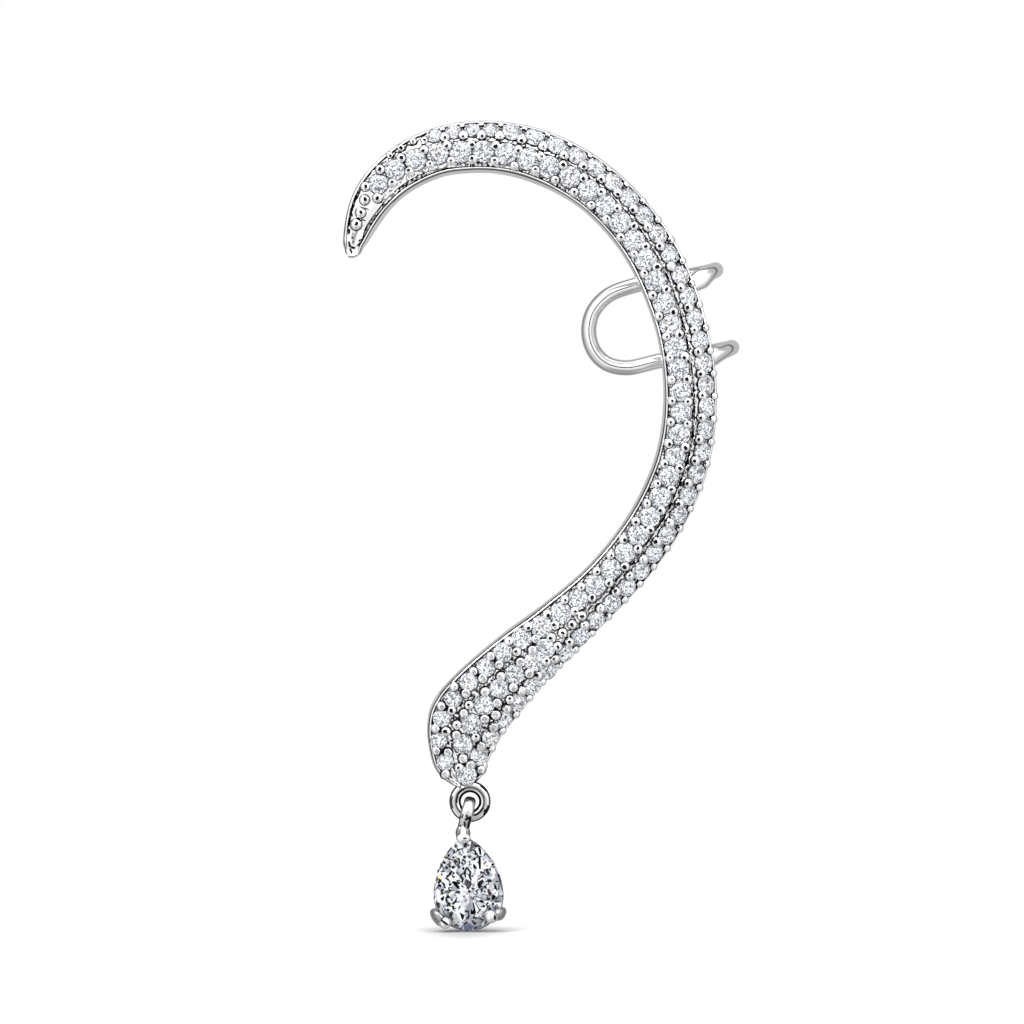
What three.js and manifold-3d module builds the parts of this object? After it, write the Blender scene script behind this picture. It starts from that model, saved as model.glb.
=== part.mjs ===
// Ear climber for a left ear: a curved bar set with two rows of small round stones follows the
// ear's rim from a hook over the top down to a wider, three-row lobe. A wire cuff soldered to the
// bar's back grips the rim, and a pear-shaped stone in three prongs hangs from a ring at the tip.
//
// Millimetres, +Z up, the front faces -Y, +X is to the wearer's back. The origin is the middle of
// the ear's rim where it passes through the cuff.

import * as THREE from 'three';
import { mergeVertices } from 'three/addons/utils/BufferGeometryUtils.js';
import Module from 'manifold-3d';

const wasm = await Module();
wasm.setup();

const rad = THREE.MathUtils.degToRad;

// ---- Driving dimensions -------------------------------------------------------------------

const EAR_GAP = 4.6; // clear gap for the ear's rim, between the cuff's front and rear wires
const CUFF_WIRE = 1.06; // diameter
const SOLDER_BITE = 0.12; // how deep a soldered piece sinks into its neighbour
const PIECE_GAP = 0.2; // left between a stone and the claws that hold it

const BAR_THICK = 2.1; // from the flat back to the front facet
const TIP_THICK = 1.3; // the same at both ends of the bar
const TIP_FADE = 7; // length over which the bar gets to its full thickness
const INNER_DRAFT = 0.32; // how far the polished inner wall leans in from back to front
const OUTER_DRAFT = 0.15; // how far the outer wall leans in towards the back
const FACET_TILT = rad(38); // the outer row's facet leans outward from the front by this

const WIRE_Y = (EAR_GAP + CUFF_WIRE) / 2; // distance of the cuff's wires from the origin
const BACK_Y = -WIRE_Y - CUFF_WIRE / 2 + SOLDER_BITE; // the bar's flat back

const PAVE = { girdle: 1.46, table: 0.8, crown: 0.24, sunk: 0.2, sides: 8 };

// The bar's middle line in the XZ plane: arcs that run on smoothly from each other, from the
// hook's tip to the lobe's. A negative radius turns to the right of the way it runs.
const SPINE_START = { x: -23.7, z: 4.8, heading: rad(82.9) };
const SPINE_ARCS = [
  { radius: -8.4, sweep: 49.4 },
  { radius: -10.4, sweep: 55.0 },
  { radius: -16.9, sweep: 44.6 },
  { radius: -18.6, sweep: 42.9 },
  { radius: -23.8, sweep: 39.5 },
  { radius: 10.8, sweep: 61.4 },
];

// Half widths of the bar on its inner and outer side, and the offset of the ridge between the
// front facet and the outer one, at distances s along the middle line.
const BAR_STATIONS = [
  { s: -0.35, inner: 0.66, outer: 0.62, ridge: 0.4 },
  { s: 3.3, inner: 1.36, outer: 1.28, ridge: 0.95 },
  { s: 6.2, inner: 1.6, outer: 1.6, ridge: 1.1 },
  { s: 9.3, inner: 1.75, outer: 1.76, ridge: 0.75 },
  { s: 12.5, inner: 1.9, outer: 1.84, ridge: 0.36 },
  { s: 20.0, inner: 1.9, outer: 1.92, ridge: 0.32 },
  { s: 27.0, inner: 1.9, outer: 1.88, ridge: 0.14 },
  { s: 34.0, inner: 1.93, outer: 1.78, ridge: 0.05 },
  { s: 40.0, inner: 1.8, outer: 1.92, ridge: 0.34 },
  { s: 45.5, inner: 1.73, outer: 2.04, ridge: 0.55 },
  { s: 52.0, inner: 1.86, outer: 1.88, ridge: 0.28 },
  { s: 56.5, inner: 2.07, outer: 1.78, ridge: 0.3 },
  { s: 60.2, inner: 2.1, outer: 2.28, ridge: 1.0 },
  { s: 63.2, inner: 2.2, outer: 2.76, ridge: 1.38 },
  { s: 66.0, inner: 2.86, outer: 2.66, ridge: 1.2 },
  { s: 68.7, inner: 3.0, outer: 2.24, ridge: 0.75 },
  { s: 70.5, inner: 2.42, outer: 1.84, ridge: 0.5 },
  { s: 72.6, inner: 1.2, outer: 1.5, ridge: 0.4 },
];
const HOOK_ROUND = 0.6; // length over which the hook's tip rounds off
const LOBE_ROUND = 1.5; // the same at the lobe's tip

// Rows of stones: how many, and the offsets n from the middle line that the row passes through.
const STONE_ROWS = [
  {
    count: 42,
    guide: [
      { s: 5.2, n: 0.36 },
      { s: 8.3, n: 0.06 },
      { s: 11.5, n: -0.4 },
      { s: 18.0, n: -0.46 },
      { s: 27.0, n: -0.7 },
      { s: 33.6, n: -0.8 },
      { s: 40.0, n: -0.6 },
      { s: 45.0, n: -0.4 },
      { s: 50.0, n: -0.56 },
      { s: 54.5, n: -0.84 },
      { s: 60.0, n: -1.04 },
      { s: 64.0, n: -1.24 },
      { s: 66.7, n: -1.86 },
      { s: 68.2, n: -2.06 },
      { s: 69.6, n: -1.78 },
      { s: 70.8, n: -1.05 },
    ],
  },
  {
    count: 40,
    guide: [
      { s: 9.9, n: 1.22 },
      { s: 12.5, n: 1.06 },
      { s: 20.0, n: 1.1 },
      { s: 27.0, n: 0.98 },
      { s: 33.6, n: 0.86 },
      { s: 40.0, n: 1.22 },
      { s: 45.5, n: 1.4 },
      { s: 51.6, n: 1.1 },
      { s: 55.5, n: 1.0 },
      { s: 57.8, n: 1.3 },
      { s: 60.7, n: 1.86 },
      { s: 64.6, n: 2.1 },
      { s: 68.4, n: 1.5 },
      { s: 70.3, n: 1.16 },
    ],
  },
  {
    count: 8,
    guide: [
      { s: 60.1, n: 0.38 },
      { s: 62.9, n: 0.6 },
      { s: 66.2, n: 0.2 },
      { s: 69.4, n: -0.1 },
      { s: 71.5, n: 0.24 },
    ],
  },
];

// The cuff's wire leaves its solder under the bar, bends back round the ear's rim, and closes in
// a loop behind the ear: its end points and tips in the XZ plane, upper leg first.
const CUFF_LEGS = [
  { solder: [-0.9, 1.55], tip: [2.25, 3.42], rear: [-3.3, 2.4] },
  { solder: [-0.3, -4.15], tip: [3.5, -1.96], rear: [-1.65, -2.98] },
];
const CUFF_LOOP = [
  [-5.45, 1.76],
  [-6.5, 0.62],
  [-6.73, -0.72],
  [-6.35, -2.05],
  [-5.4, -3.02],
  [-3.95, -3.38],
];
const CUFF_BEND_STEPS = 6;

const RING = { x: -15.24, z: -34.29, radius: 1.06, wire: 0.84 };
const RING_Y = BACK_Y - 0.75;

// The drop's own frame has the stone's widest line at 0, the tip up, and the ring's depth at 0.
// The bail leans, and the stone tilts back by a little, so that the drop's weight is below the ring.
const BAIL = { radius: 0.9, band: 0.6, wide: 0.76, lean: rad(11) };
const DROP = { x: -15.33, z: -41.0, tilt: rad(4) };
const PEAR = { half: 2.5, wing: 5.0, crown: 0.72, girdle: 0.18, pavilion: 2.05, table: 0.56 };
const GIRDLE_Y = -0.3; // depth of the stone's girdle in the drop's frame
const GALLERY = { wire: 0.6, behind: 1.5, scale: 0.7 }; // the pear-shaped loop behind the stone
const CLAW = { wire: 0.55, bead: 0.8, fold: 0.36, bow: 0.3 }; // bow: how far its shank bulges
const LOWER_CLAWS = [
  { foot: rad(-30), bead: rad(-42), reach: 2.15 },
  { foot: rad(-150), bead: rad(-137), reach: 2.45 },
];
const TOP_BEAD = { x: -0.08, z: 4.28, wide: 1.05, tall: 0.76, deep: 0.66, ahead: 0.26 };

const METAL = { color: 0xd6d7da, roughness: 0.12, metalness: 1.0 };
const CLEAR = { color: 0xe9edf5, roughness: 0.03, metalness: 0.0 };

// ---- Solids -------------------------------------------------------------------------------

// A closed geometry as a manifold solid.
function solid(geometry) {
  const bare = geometry.index ? geometry.toNonIndexed() : geometry.clone();
  bare.deleteAttribute('normal');
  bare.deleteAttribute('uv');
  const merged = mergeVertices(bare, 1e-5);
  const corners = new Uint32Array(merged.index.array);
  const triVerts = [];
  for (let i = 0; i < corners.length; i += 3) {
    const [a, b, c] = corners.subarray(i, i + 3);
    if (a !== b && b !== c && c !== a) {
      triVerts.push(a, b, c);
    }
  }
  return new wasm.Manifold(
    new wasm.Mesh({
      numProp: 3,
      vertProperties: new Float32Array(merged.attributes.position.array),
      triVerts: new Uint32Array(triVerts),
    }),
  );
}

// A manifold solid as a named mesh.
function mesh(name, body, material) {
  const result = body.getMesh();
  const geometry = new THREE.BufferGeometry();
  geometry.setAttribute('position', new THREE.BufferAttribute(result.vertProperties, 3));
  geometry.setIndex(new THREE.BufferAttribute(result.triVerts, 1));
  geometry.computeVertexNormals();
  const made = new THREE.Mesh(geometry, new THREE.MeshStandardMaterial(material));
  made.name = name;
  return made;
}

function joined(bodies) {
  return bodies.reduce((all, body) => all.add(body));
}

// A smooth value between the rows of a table, by their distance s.
function between(table, column, s) {
  const last = table.length - 1;
  let i = 0;
  while (i < last - 1 && s > table[i + 1].s) {
    i += 1;
  }
  const slope = (k) => {
    const a = table[Math.max(k - 1, 0)];
    const b = table[Math.min(k + 1, last)];
    return (b[column] - a[column]) / (b.s - a.s);
  };
  const span = table[i + 1].s - table[i].s;
  const t = THREE.MathUtils.clamp((s - table[i].s) / span, 0, 1);
  const rise = table[i + 1][column] - table[i][column];
  const from = slope(i) * span;
  const to = slope(i + 1) * span;
  return table[i][column] + t * (from + t * (3 * rise - 2 * from - to + t * (from + to - 2 * rise)));
}

// ---- The bar ------------------------------------------------------------------------------

const HOOK_END = BAR_STATIONS[0].s;
const LOBE_END = BAR_STATIONS[BAR_STATIONS.length - 1].s;

// Where the middle line is at distance s, with the direction that it runs in.
function spine(s) {
  let { x, z, heading } = SPINE_START;
  let left = s;
  for (const [i, { radius, sweep }] of SPINE_ARCS.entries()) {
    const whole = Math.abs(radius) * rad(sweep);
    const step = i === SPINE_ARCS.length - 1 ? left : Math.min(left, whole);
    const turned = heading + step / radius;
    x += radius * (Math.sin(turned) - Math.sin(heading));
    z -= radius * (Math.cos(turned) - Math.cos(heading));
    heading = turned;
    left -= step;
    if (left <= 0) {
      break;
    }
  }
  return { x, z, heading };
}

// The point at distance s along the bar and offset n to its outer side, at depth y.
function onBar(s, n, y) {
  const { x, z, heading } = spine(s);
  return new THREE.Vector3(x - n * Math.sin(heading), y, z + n * Math.cos(heading));
}

// Narrows the bar's ends as quarter ellipses, almost to nothing.
function rounding(s) {
  const hook = THREE.MathUtils.clamp(1 - (s - HOOK_END) / HOOK_ROUND, 0, 0.97);
  const lobe = THREE.MathUtils.clamp(1 - (LOBE_END - s) / LOBE_ROUND, 0, 0.97);
  return Math.sqrt(1 - hook ** 2) * Math.sqrt(1 - lobe ** 2);
}

function barSizes(s) {
  const round = rounding(s);
  const full = THREE.MathUtils.smoothstep(Math.min(s, LOBE_END - s), 0, TIP_FADE);
  return {
    inner: between(BAR_STATIONS, 'inner', s) * round,
    outer: between(BAR_STATIONS, 'outer', s) * round,
    ridge: between(BAR_STATIONS, 'ridge', s) * round,
    thick: THREE.MathUtils.lerp(TIP_THICK, BAR_THICK, full),
  };
}

// The front surface's depth at an offset n: flat to the ridge, then falling away.
function frontDepth(s, n) {
  const { ridge, thick } = barSizes(s);
  return BACK_Y - thick + Math.max(n - ridge, 0) * Math.tan(FACET_TILT);
}

// One section of the bar, from its inner back edge round the front to its outer back edge.
function barSection(s) {
  const { inner, outer, ridge, thick } = barSizes(s);
  const draft = Math.min(INNER_DRAFT, inner * 0.3);
  return [
    onBar(s, -inner, BACK_Y),
    onBar(s, -inner + draft * 0.5, BACK_Y - thick * 0.72),
    onBar(s, -inner + draft, BACK_Y - thick),
    onBar(s, ridge, BACK_Y - thick),
    onBar(s, outer, frontDepth(s, outer)),
    onBar(s, outer - Math.min(OUTER_DRAFT, outer * 0.2), BACK_Y),
  ];
}

// Distances of the bar's sections: close together where the ends round off.
function barDistances() {
  const ends = [0, 0.04, 0.12, 0.28, 0.55, 1];
  const steps = 56;
  const first = HOOK_END + HOOK_ROUND;
  const run = LOBE_END - LOBE_ROUND - first;
  const list = ends.map((part) => HOOK_END + part * HOOK_ROUND);
  for (let i = 1; i < steps; i += 1) {
    list.push(first + (run * i) / steps);
  }
  list.push(...ends.reverse().map((part) => LOBE_END - part * LOBE_ROUND));
  return list;
}

// A solid skinned over sections that all have the same number of points.
function loft(sections) {
  const count = sections[0].length;
  const positions = sections.flat().flatMap((point) => point.toArray());
  const index = [];
  for (let i = 0; i + 1 < sections.length; i += 1) {
    for (let j = 0; j < count; j += 1) {
      const a = i * count + j;
      const b = i * count + ((j + 1) % count);
      index.push(a, b + count, b, a, a + count, b + count);
    }
  }
  const end = (sections.length - 1) * count;
  for (let j = 1; j + 1 < count; j += 1) {
    index.push(0, j, j + 1, end, end + j + 1, end + j);
  }
  const geometry = new THREE.BufferGeometry();
  geometry.setAttribute('position', new THREE.Float32BufferAttribute(positions, 3));
  geometry.setIndex(index);
  return solid(geometry);
}

// ---- Small stones -------------------------------------------------------------------------

// Places of a row's stones, evenly spaced along the row's own line.
function rowPlaces({ count, guide }) {
  const first = guide[0].s;
  const last = guide[guide.length - 1].s;
  const samples = 400;
  const line = [];
  let run = 0;
  for (let i = 0; i <= samples; i += 1) {
    const s = THREE.MathUtils.lerp(first, last, i / samples);
    const n = between(guide, 'n', s);
    const point = onBar(s, n, frontDepth(s, n));
    run += i > 0 ? point.distanceTo(line[i - 1].point) : 0;
    line.push({ s, n, point, run });
  }
  const places = [];
  for (let k = 0; k < count; k += 1) {
    const wanted = (run * k) / (count - 1);
    places.push(line.find((sample) => sample.run >= wanted - 1e-9));
  }
  return places;
}

// The crown of one stone, standing on its facet of the bar.
function paveStone({ s, n, point }) {
  const { heading } = spine(s);
  const tilt = n > barSizes(s).ridge ? FACET_TILT : 0;
  const outward = new THREE.Vector3(-Math.sin(heading), 0, Math.cos(heading));
  const normal = new THREE.Vector3(0, -Math.cos(tilt), 0).addScaledVector(outward, Math.sin(tilt));
  const height = PAVE.crown + PAVE.sunk;
  const crown = new THREE.CylinderGeometry(PAVE.table / 2, PAVE.girdle / 2, height, PAVE.sides);
  crown.translate(0, height / 2 - PAVE.sunk, 0);
  crown.applyQuaternion(
    new THREE.Quaternion().setFromUnitVectors(new THREE.Vector3(0, 1, 0), normal),
  );
  crown.translate(point.x, point.y, point.z);
  return solid(crown);
}

// ---- Wires --------------------------------------------------------------------------------

function wire(points, diameter, steps, sides) {
  const curve = new THREE.CatmullRomCurve3(points, false, 'centripetal');
  const section = new THREE.Shape();
  for (let i = 0; i < sides; i += 1) {
    const angle = (2 * Math.PI * i) / sides;
    section[i === 0 ? 'moveTo' : 'lineTo'](
      (Math.cos(angle) * diameter) / 2,
      (Math.sin(angle) * diameter) / 2,
    );
  }
  section.closePath();
  return solid(new THREE.ExtrudeGeometry(section, { steps, extrudePath: curve }));
}

// One leg of the cuff, from its solder on the bar round the rim to the loop behind the ear.
function cuffLeg({ solder, tip, rear }) {
  const points = [new THREE.Vector3(solder[0], -WIRE_Y, solder[1])];
  const reach = tip[0] - WIRE_Y;
  for (let i = 0; i <= CUFF_BEND_STEPS; i += 1) {
    const angle = Math.PI * (i / CUFF_BEND_STEPS - 0.5);
    const x = reach + WIRE_Y * Math.cos(angle);
    const end = angle < 0 ? solder : rear;
    const z = THREE.MathUtils.mapLinear(x, tip[0], end[0], tip[1], end[1]);
    points.push(new THREE.Vector3(x, WIRE_Y * Math.sin(angle), z));
  }
  points.push(new THREE.Vector3(rear[0], WIRE_Y, rear[1]));
  return points;
}

function cuffWire() {
  const [upper, lower] = CUFF_LEGS.map(cuffLeg);
  const loop = CUFF_LOOP.map(([x, z]) => new THREE.Vector3(x, WIRE_Y, z));
  return wire([...upper, ...loop, ...lower.reverse()], CUFF_WIRE, 64, 8);
}

// ---- The drop -----------------------------------------------------------------------------

// How far the pear's tip is above its widest line.
function pearTip() {
  return Math.sqrt(PEAR.wing ** 2 - (PEAR.wing - PEAR.half) ** 2);
}

// The pear outline in its own plane, the tip up: a half circle with two arcs that meet above it.
function pearOutline(scale, steps) {
  const { half, wing } = PEAR;
  const tip = pearTip();
  const side = [];
  for (let i = 0; i < steps; i += 1) {
    const z = tip * (1 - Math.cos((Math.PI / 2) * (1 - i / steps)));
    side.push([Math.sqrt(wing ** 2 - z ** 2) - (wing - half), z]);
  }
  const points = [[0, tip], ...side.slice(1)];
  for (let i = 0; i <= steps * 2; i += 1) {
    const angle = (-Math.PI * i) / (steps * 2);
    points.push([half * Math.cos(angle), half * Math.sin(angle)]);
  }
  points.push(...side.slice(1).reverse().map(([x, z]) => [-x, z]));
  return points.map(([x, z]) => [x * scale, z * scale]);
}

// From the drop's own frame to its place under the ring.
function hang(body) {
  const degrees = THREE.MathUtils.radToDeg(DROP.tilt);
  return body.rotate([0, -degrees, 0]).translate([DROP.x, RING_Y, DROP.z]);
}

// The pear stone: table, crown, girdle and a keeled pavilion.
function pearStone() {
  const { crown, girdle, pavilion, table } = PEAR;
  const ring = (scale, y) =>
    pearOutline(scale, 6).map(([x, z]) => new THREE.Vector3(x, GIRDLE_Y + y, z));
  return loft([
    ring(0.06, girdle / 2 + pavilion),
    ring(0.45, girdle / 2 + pavilion * 0.6),
    ring(1, girdle / 2),
    ring(1, -girdle / 2),
    ring(table, -girdle / 2 - crown),
  ]);
}

// A point of the setting, by its angle and reach from the stone's widest point.
function around(angle, reach, y) {
  return new THREE.Vector3(reach * Math.cos(angle), GIRDLE_Y + y, reach * Math.sin(angle));
}

// The loop behind the stone that carries the claws.
function gallery() {
  const points = pearOutline(GALLERY.scale, 5).map(
    ([x, z]) => new THREE.Vector3(x, GIRDLE_Y + GALLERY.behind, z),
  );
  const curve = new THREE.CatmullRomCurve3(points, true, 'centripetal');
  return solid(new THREE.TubeGeometry(curve, 36, GALLERY.wire / 2, 8, true));
}

// A lower claw: it rises from the gallery past the girdle and folds over the crown to its bead.
function lowerClaw({ foot, bead, reach }) {
  const low = PEAR.half * GALLERY.scale;
  const stand = PEAR.half + PIECE_GAP / 2 + CLAW.wire / 2;
  const slope = Math.atan(PEAR.crown / (PEAR.half * (1 - PEAR.table)));
  const crownY = -PEAR.girdle / 2 - Math.tan(slope) * (PEAR.half - reach);
  const clear = (PIECE_GAP + CLAW.bead / 2) / Math.cos(slope);
  const beadAt = around(bead, reach, crownY - clear);
  const shank = wire(
    [
      around(foot, low, GALLERY.behind),
      around(foot, (low + stand) / 2 + CLAW.bow, GALLERY.behind / 2),
      around(foot, stand, 0),
      around(foot, stand, -CLAW.fold),
      beadAt,
    ],
    CLAW.wire,
    14,
    8,
  );
  const ball = new THREE.SphereGeometry(CLAW.bead / 2, 10, 6);
  ball.translate(...beadAt.toArray());
  return shank.add(solid(ball));
}

// The top claw: its wires meet the bail above the stone's tip, one from the gallery behind and
// one that folds over the tip to a wide bead.
function topClaw(bailFoot) {
  const behind = new THREE.Vector3(0, GIRDLE_Y + GALLERY.behind, pearTip() * GALLERY.scale);
  const bead = new THREE.Vector3(TOP_BEAD.x, 0, TOP_BEAD.z);
  bead.y = GIRDLE_Y - PEAR.girdle / 2 - TOP_BEAD.deep / 2 - TOP_BEAD.ahead;
  const over = new THREE.Vector3(bailFoot.x, bead.y * 0.75, bailFoot.z);
  const bend = behind.clone().lerp(bailFoot, 0.5);
  bend.addScaledVector(new THREE.Vector3(0, 1, 1), PIECE_GAP / 2);
  const ball = new THREE.SphereGeometry(0.5, 12, 8);
  ball.scale(TOP_BEAD.wide, TOP_BEAD.deep, TOP_BEAD.tall);
  ball.translate(...bead.toArray());
  return joined([
    wire([behind, bend, bailFoot], CLAW.wire, 6, 8),
    wire([bailFoot, over, bead], CLAW.wire, 8, 8),
    solid(ball),
  ]);
}

// The bail: a flat-sided ring that passes through the climber's ring, edge on to the front.
function bail() {
  const band = new THREE.TorusGeometry(BAIL.radius, BAIL.band / 2, 10, 24);
  band.scale(1, 1, BAIL.wide / BAIL.band);
  band.rotateY(Math.PI / 2);
  band.translate(0, 0, -RING.radius);
  band.rotateY(BAIL.lean);
  band.translate(RING.x, RING_Y, RING.z);
  return solid(band);
}

// Where the bail's lowest point is, in the drop's frame.
function bailFootPoint() {
  const below = RING.radius + BAIL.radius;
  const foot = new THREE.Vector3(
    RING.x - below * Math.sin(BAIL.lean) - DROP.x,
    0,
    RING.z - below * Math.cos(BAIL.lean) - DROP.z,
  );
  return foot.applyAxisAngle(new THREE.Vector3(0, 1, 0), DROP.tilt);
}

function dropSetting() {
  const basket = joined([gallery(), ...LOWER_CLAWS.map(lowerClaw), topClaw(bailFootPoint())]);
  return hang(basket).add(bail());
}

const bar = loft(barDistances().map(barSection));
const stones = STONE_ROWS.flatMap(rowPlaces).map(paveStone);
const ring = new THREE.TorusGeometry(RING.radius, RING.wire / 2, 10, 28);
ring.rotateX(Math.PI / 2);
ring.translate(RING.x, RING_Y, RING.z);

const frame = joined([bar, ...stones, cuffWire(), solid(ring)]);

const group = new THREE.Group();
group.add(mesh('climber_frame', frame, METAL));
group.add(mesh('drop_setting', dropSetting(), METAL));
group.add(mesh('pear_stone', hang(pearStone()), CLEAR));

export default group;
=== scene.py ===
"""Ear climber for a left ear: a pave-set bar, a wire cuff soldered to its back and a pear drop.

Lengths are in millimetres in the part's own frame (+Z up, the front faces -Y); every mesh is scaled to
metres when it is made. s is the distance along the bar's middle line from the hook's tip to the lobe,
n the distance across it, outward.
"""

import math
import random
from functools import lru_cache

import bpy
import numpy as np
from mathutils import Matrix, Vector, noise
from mathutils.geometry import delaunay_2d_cdt


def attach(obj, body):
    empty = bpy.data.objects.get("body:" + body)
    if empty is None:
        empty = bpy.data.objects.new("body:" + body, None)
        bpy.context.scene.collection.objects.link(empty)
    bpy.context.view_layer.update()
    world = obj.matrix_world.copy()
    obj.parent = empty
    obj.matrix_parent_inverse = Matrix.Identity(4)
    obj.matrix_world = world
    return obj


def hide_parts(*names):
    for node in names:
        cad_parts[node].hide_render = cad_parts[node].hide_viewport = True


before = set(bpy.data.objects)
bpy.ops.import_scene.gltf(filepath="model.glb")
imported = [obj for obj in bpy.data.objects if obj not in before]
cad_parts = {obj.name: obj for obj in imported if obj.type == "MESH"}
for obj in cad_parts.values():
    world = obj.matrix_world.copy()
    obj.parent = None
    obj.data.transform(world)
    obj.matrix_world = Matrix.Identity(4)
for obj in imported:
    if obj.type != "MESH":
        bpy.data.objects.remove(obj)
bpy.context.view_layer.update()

MM = 0.001
rad = math.radians
sin, cos, tan, pi = math.sin, math.cos, math.tan, math.pi

# ---- Driving dimensions, as in the part's source -------------------------------------------

EAR_GAP = 4.6
CUFF_WIRE = 1.06
SOLDER_BITE = 0.12
BAR_THICK = 2.1
TIP_THICK = 1.3
TIP_FADE = 7.0
OUTER_DRAFT = 0.15
FACET_TILT = rad(38)
WIRE_Y = (EAR_GAP + CUFF_WIRE) / 2
BACK_Y = -WIRE_Y - CUFF_WIRE / 2 + SOLDER_BITE

SPINE_START = (-23.7, 4.8, rad(82.9))
# The middle line's arcs: (radius, degrees)
SPINE_ARCS = [
    (-8.4, 49.4), (-10.4, 55.0), (-16.9, 44.6), (-18.6, 42.9), (-23.8, 39.5), (10.8, 61.4),
]
# s, inner half width, outer half width, offset of the ridge
BAR_STATIONS = [
    (-0.35, 0.66, 0.62, 0.4), (3.3, 1.36, 1.28, 0.95), (6.2, 1.6, 1.6, 1.1), (9.3, 1.75, 1.76, 0.75),
    (12.5, 1.9, 1.84, 0.36), (20.0, 1.9, 1.92, 0.32), (27.0, 1.9, 1.88, 0.14), (34.0, 1.93, 1.78, 0.05),
    (40.0, 1.8, 1.92, 0.34), (45.5, 1.73, 2.04, 0.55), (52.0, 1.86, 1.88, 0.28), (56.5, 2.07, 1.78, 0.3),
    (60.2, 2.1, 2.28, 1.0), (63.2, 2.2, 2.76, 1.38), (66.0, 2.86, 2.66, 1.2), (68.7, 3.0, 2.24, 0.75),
    (70.5, 2.42, 1.84, 0.5), (72.6, 1.2, 1.5, 0.4),
]
HOOK_ROUND = 0.6
LOBE_ROUND = 1.5
HOOK_END = BAR_STATIONS[0][0]
LOBE_END = BAR_STATIONS[-1][0]

# Where the rows of stones run: (s, n)
INNER_ROW = [
    (5.2, 0.27), (6.8, 0.2), (8.4, 0.02), (10.0, -0.2), (11.6, -0.45), (13.4, -0.58), (16.7, -0.58),
    (20.1, -0.47), (23.4, -0.58), (26.8, -0.73), (31.9, -0.88), (35.3, -0.83), (38.6, -0.68), (40.2, -0.52),
    (43.4, -0.35), (46.6, -0.32), (49.8, -0.45), (52.9, -0.6), (56.1, -0.8), (59.5, -0.92), (62.6, -1.0),
    (64.1, -1.12), (65.6, -1.5), (66.9, -1.87), (68.3, -2.08), (69.6, -1.85), (70.9, -1.17),
]
OUTER_ROW = [
    (10.1, 1.15), (13.0, 1.02), (16.6, 1.1), (19.7, 1.14), (24.2, 1.02), (28.9, 0.95), (33.5, 0.96),
    (36.7, 1.06), (39.6, 1.3), (42.6, 1.48), (45.6, 1.5), (48.7, 1.34), (51.7, 1.16), (54.6, 1.1),
    (56.2, 1.16), (57.8, 1.36), (59.2, 1.62), (60.8, 2.02), (62.7, 2.2), (64.7, 2.22), (66.6, 2.0),
    (68.4, 1.7), (70.1, 1.15),
]
LOBE_ROOM = 1.5
LOBE_STONES = [
    (60.12, 0.52), (61.33, 0.88), (63.1, 0.7), (64.65, 0.58), (66.3, 0.32), (67.9, 0.08), (69.45, -0.15),
    (71.68, 0.36),
]
# The gaps between a row's stones, where its beads sit
INNER_GAPS = [
    5.97, 7.5, 9.13, 10.75, 12.43, 14.2, 15.85, 17.56, 19.22, 20.94, 22.59, 24.2, 25.93, 27.6, 29.3, 31.06,
    32.76, 34.43, 36.11, 37.75, 39.36, 40.96, 42.58, 44.12, 45.7, 47.34, 48.92, 50.52, 52.07, 53.66, 55.3,
    56.88, 58.6, 60.32, 61.9, 63.38, 64.8, 66.2, 67.55, 68.9, 70.2,
]
OUTER_GAPS = [
    10.72, 11.97, 13.18, 14.4, 15.9, 17.4, 18.97, 20.46, 21.97, 23.47, 25.0, 26.57, 28.12, 29.7, 31.28,
    32.78, 34.35, 35.88, 37.38, 38.84, 40.35, 41.83, 43.27, 44.87, 46.38, 47.85, 49.41, 50.9, 52.37, 53.83,
    55.4, 56.97, 58.5, 59.95, 61.75, 63.65, 65.65, 67.55, 69.37, 70.93,
]

CUFF_LEGS = [
    {"solder": (-0.9, 1.55), "tip": (2.4, 3.74), "rear": (-3.3, 2.76)},
    {"solder": (-0.3, -3.8), "tip": (3.56, -1.84), "rear": (-1.65, -2.74)},
]
CUFF_LOOP = [(-5.36, 1.96), (-6.42, 0.72), (-6.68, -0.7), (-6.3, -2.0), (-5.4, -2.9), (-3.95, -3.22)]
CUFF_BEND_STEPS = 6
RING = {"x": -15.24, "z": -34.29, "radius": 1.06, "wire": 0.84}
RING_Y = BACK_Y - 0.75
BAIL = {"radius": 0.9, "band": 0.6, "wide": 0.86, "lean": rad(14)}
DROP = {"x": -15.33, "z": -41.0, "tilt": rad(4)}
PEAR = {"half": 2.5, "wing": 5.0, "crown": 0.72, "girdle": 0.18, "pavilion": 2.05, "table": 0.56}
PEAR_TIP = math.sqrt(PEAR["wing"] ** 2 - (PEAR["wing"] - PEAR["half"]) ** 2)
GIRDLE_Y = -0.3
GALLERY = {"wire": 0.6, "behind": 1.5, "scale": 0.7}
CLAW = {"wire": 0.55, "wide": 1.1, "bead": 0.8, "fold": 0.36, "bow": 0.3}
STONE = {"girdle": 1.6, "outer": 1.44, "least": 1.14, "spare": 0.06, "tilt": rad(31), "table": 0.56,
         "star": 0.42, "low": 0.24, "crown": 0.235, "edge": 0.03, "pavilion": 0.62}
BEAD = {"radius": 0.34, "top": 0.31, "skirt": 0.3, "shoulder": 0.09, "sides": 22, "rings": 12}

# ---- Driving dimensions of the fine detail --------------------------------------------------

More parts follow.
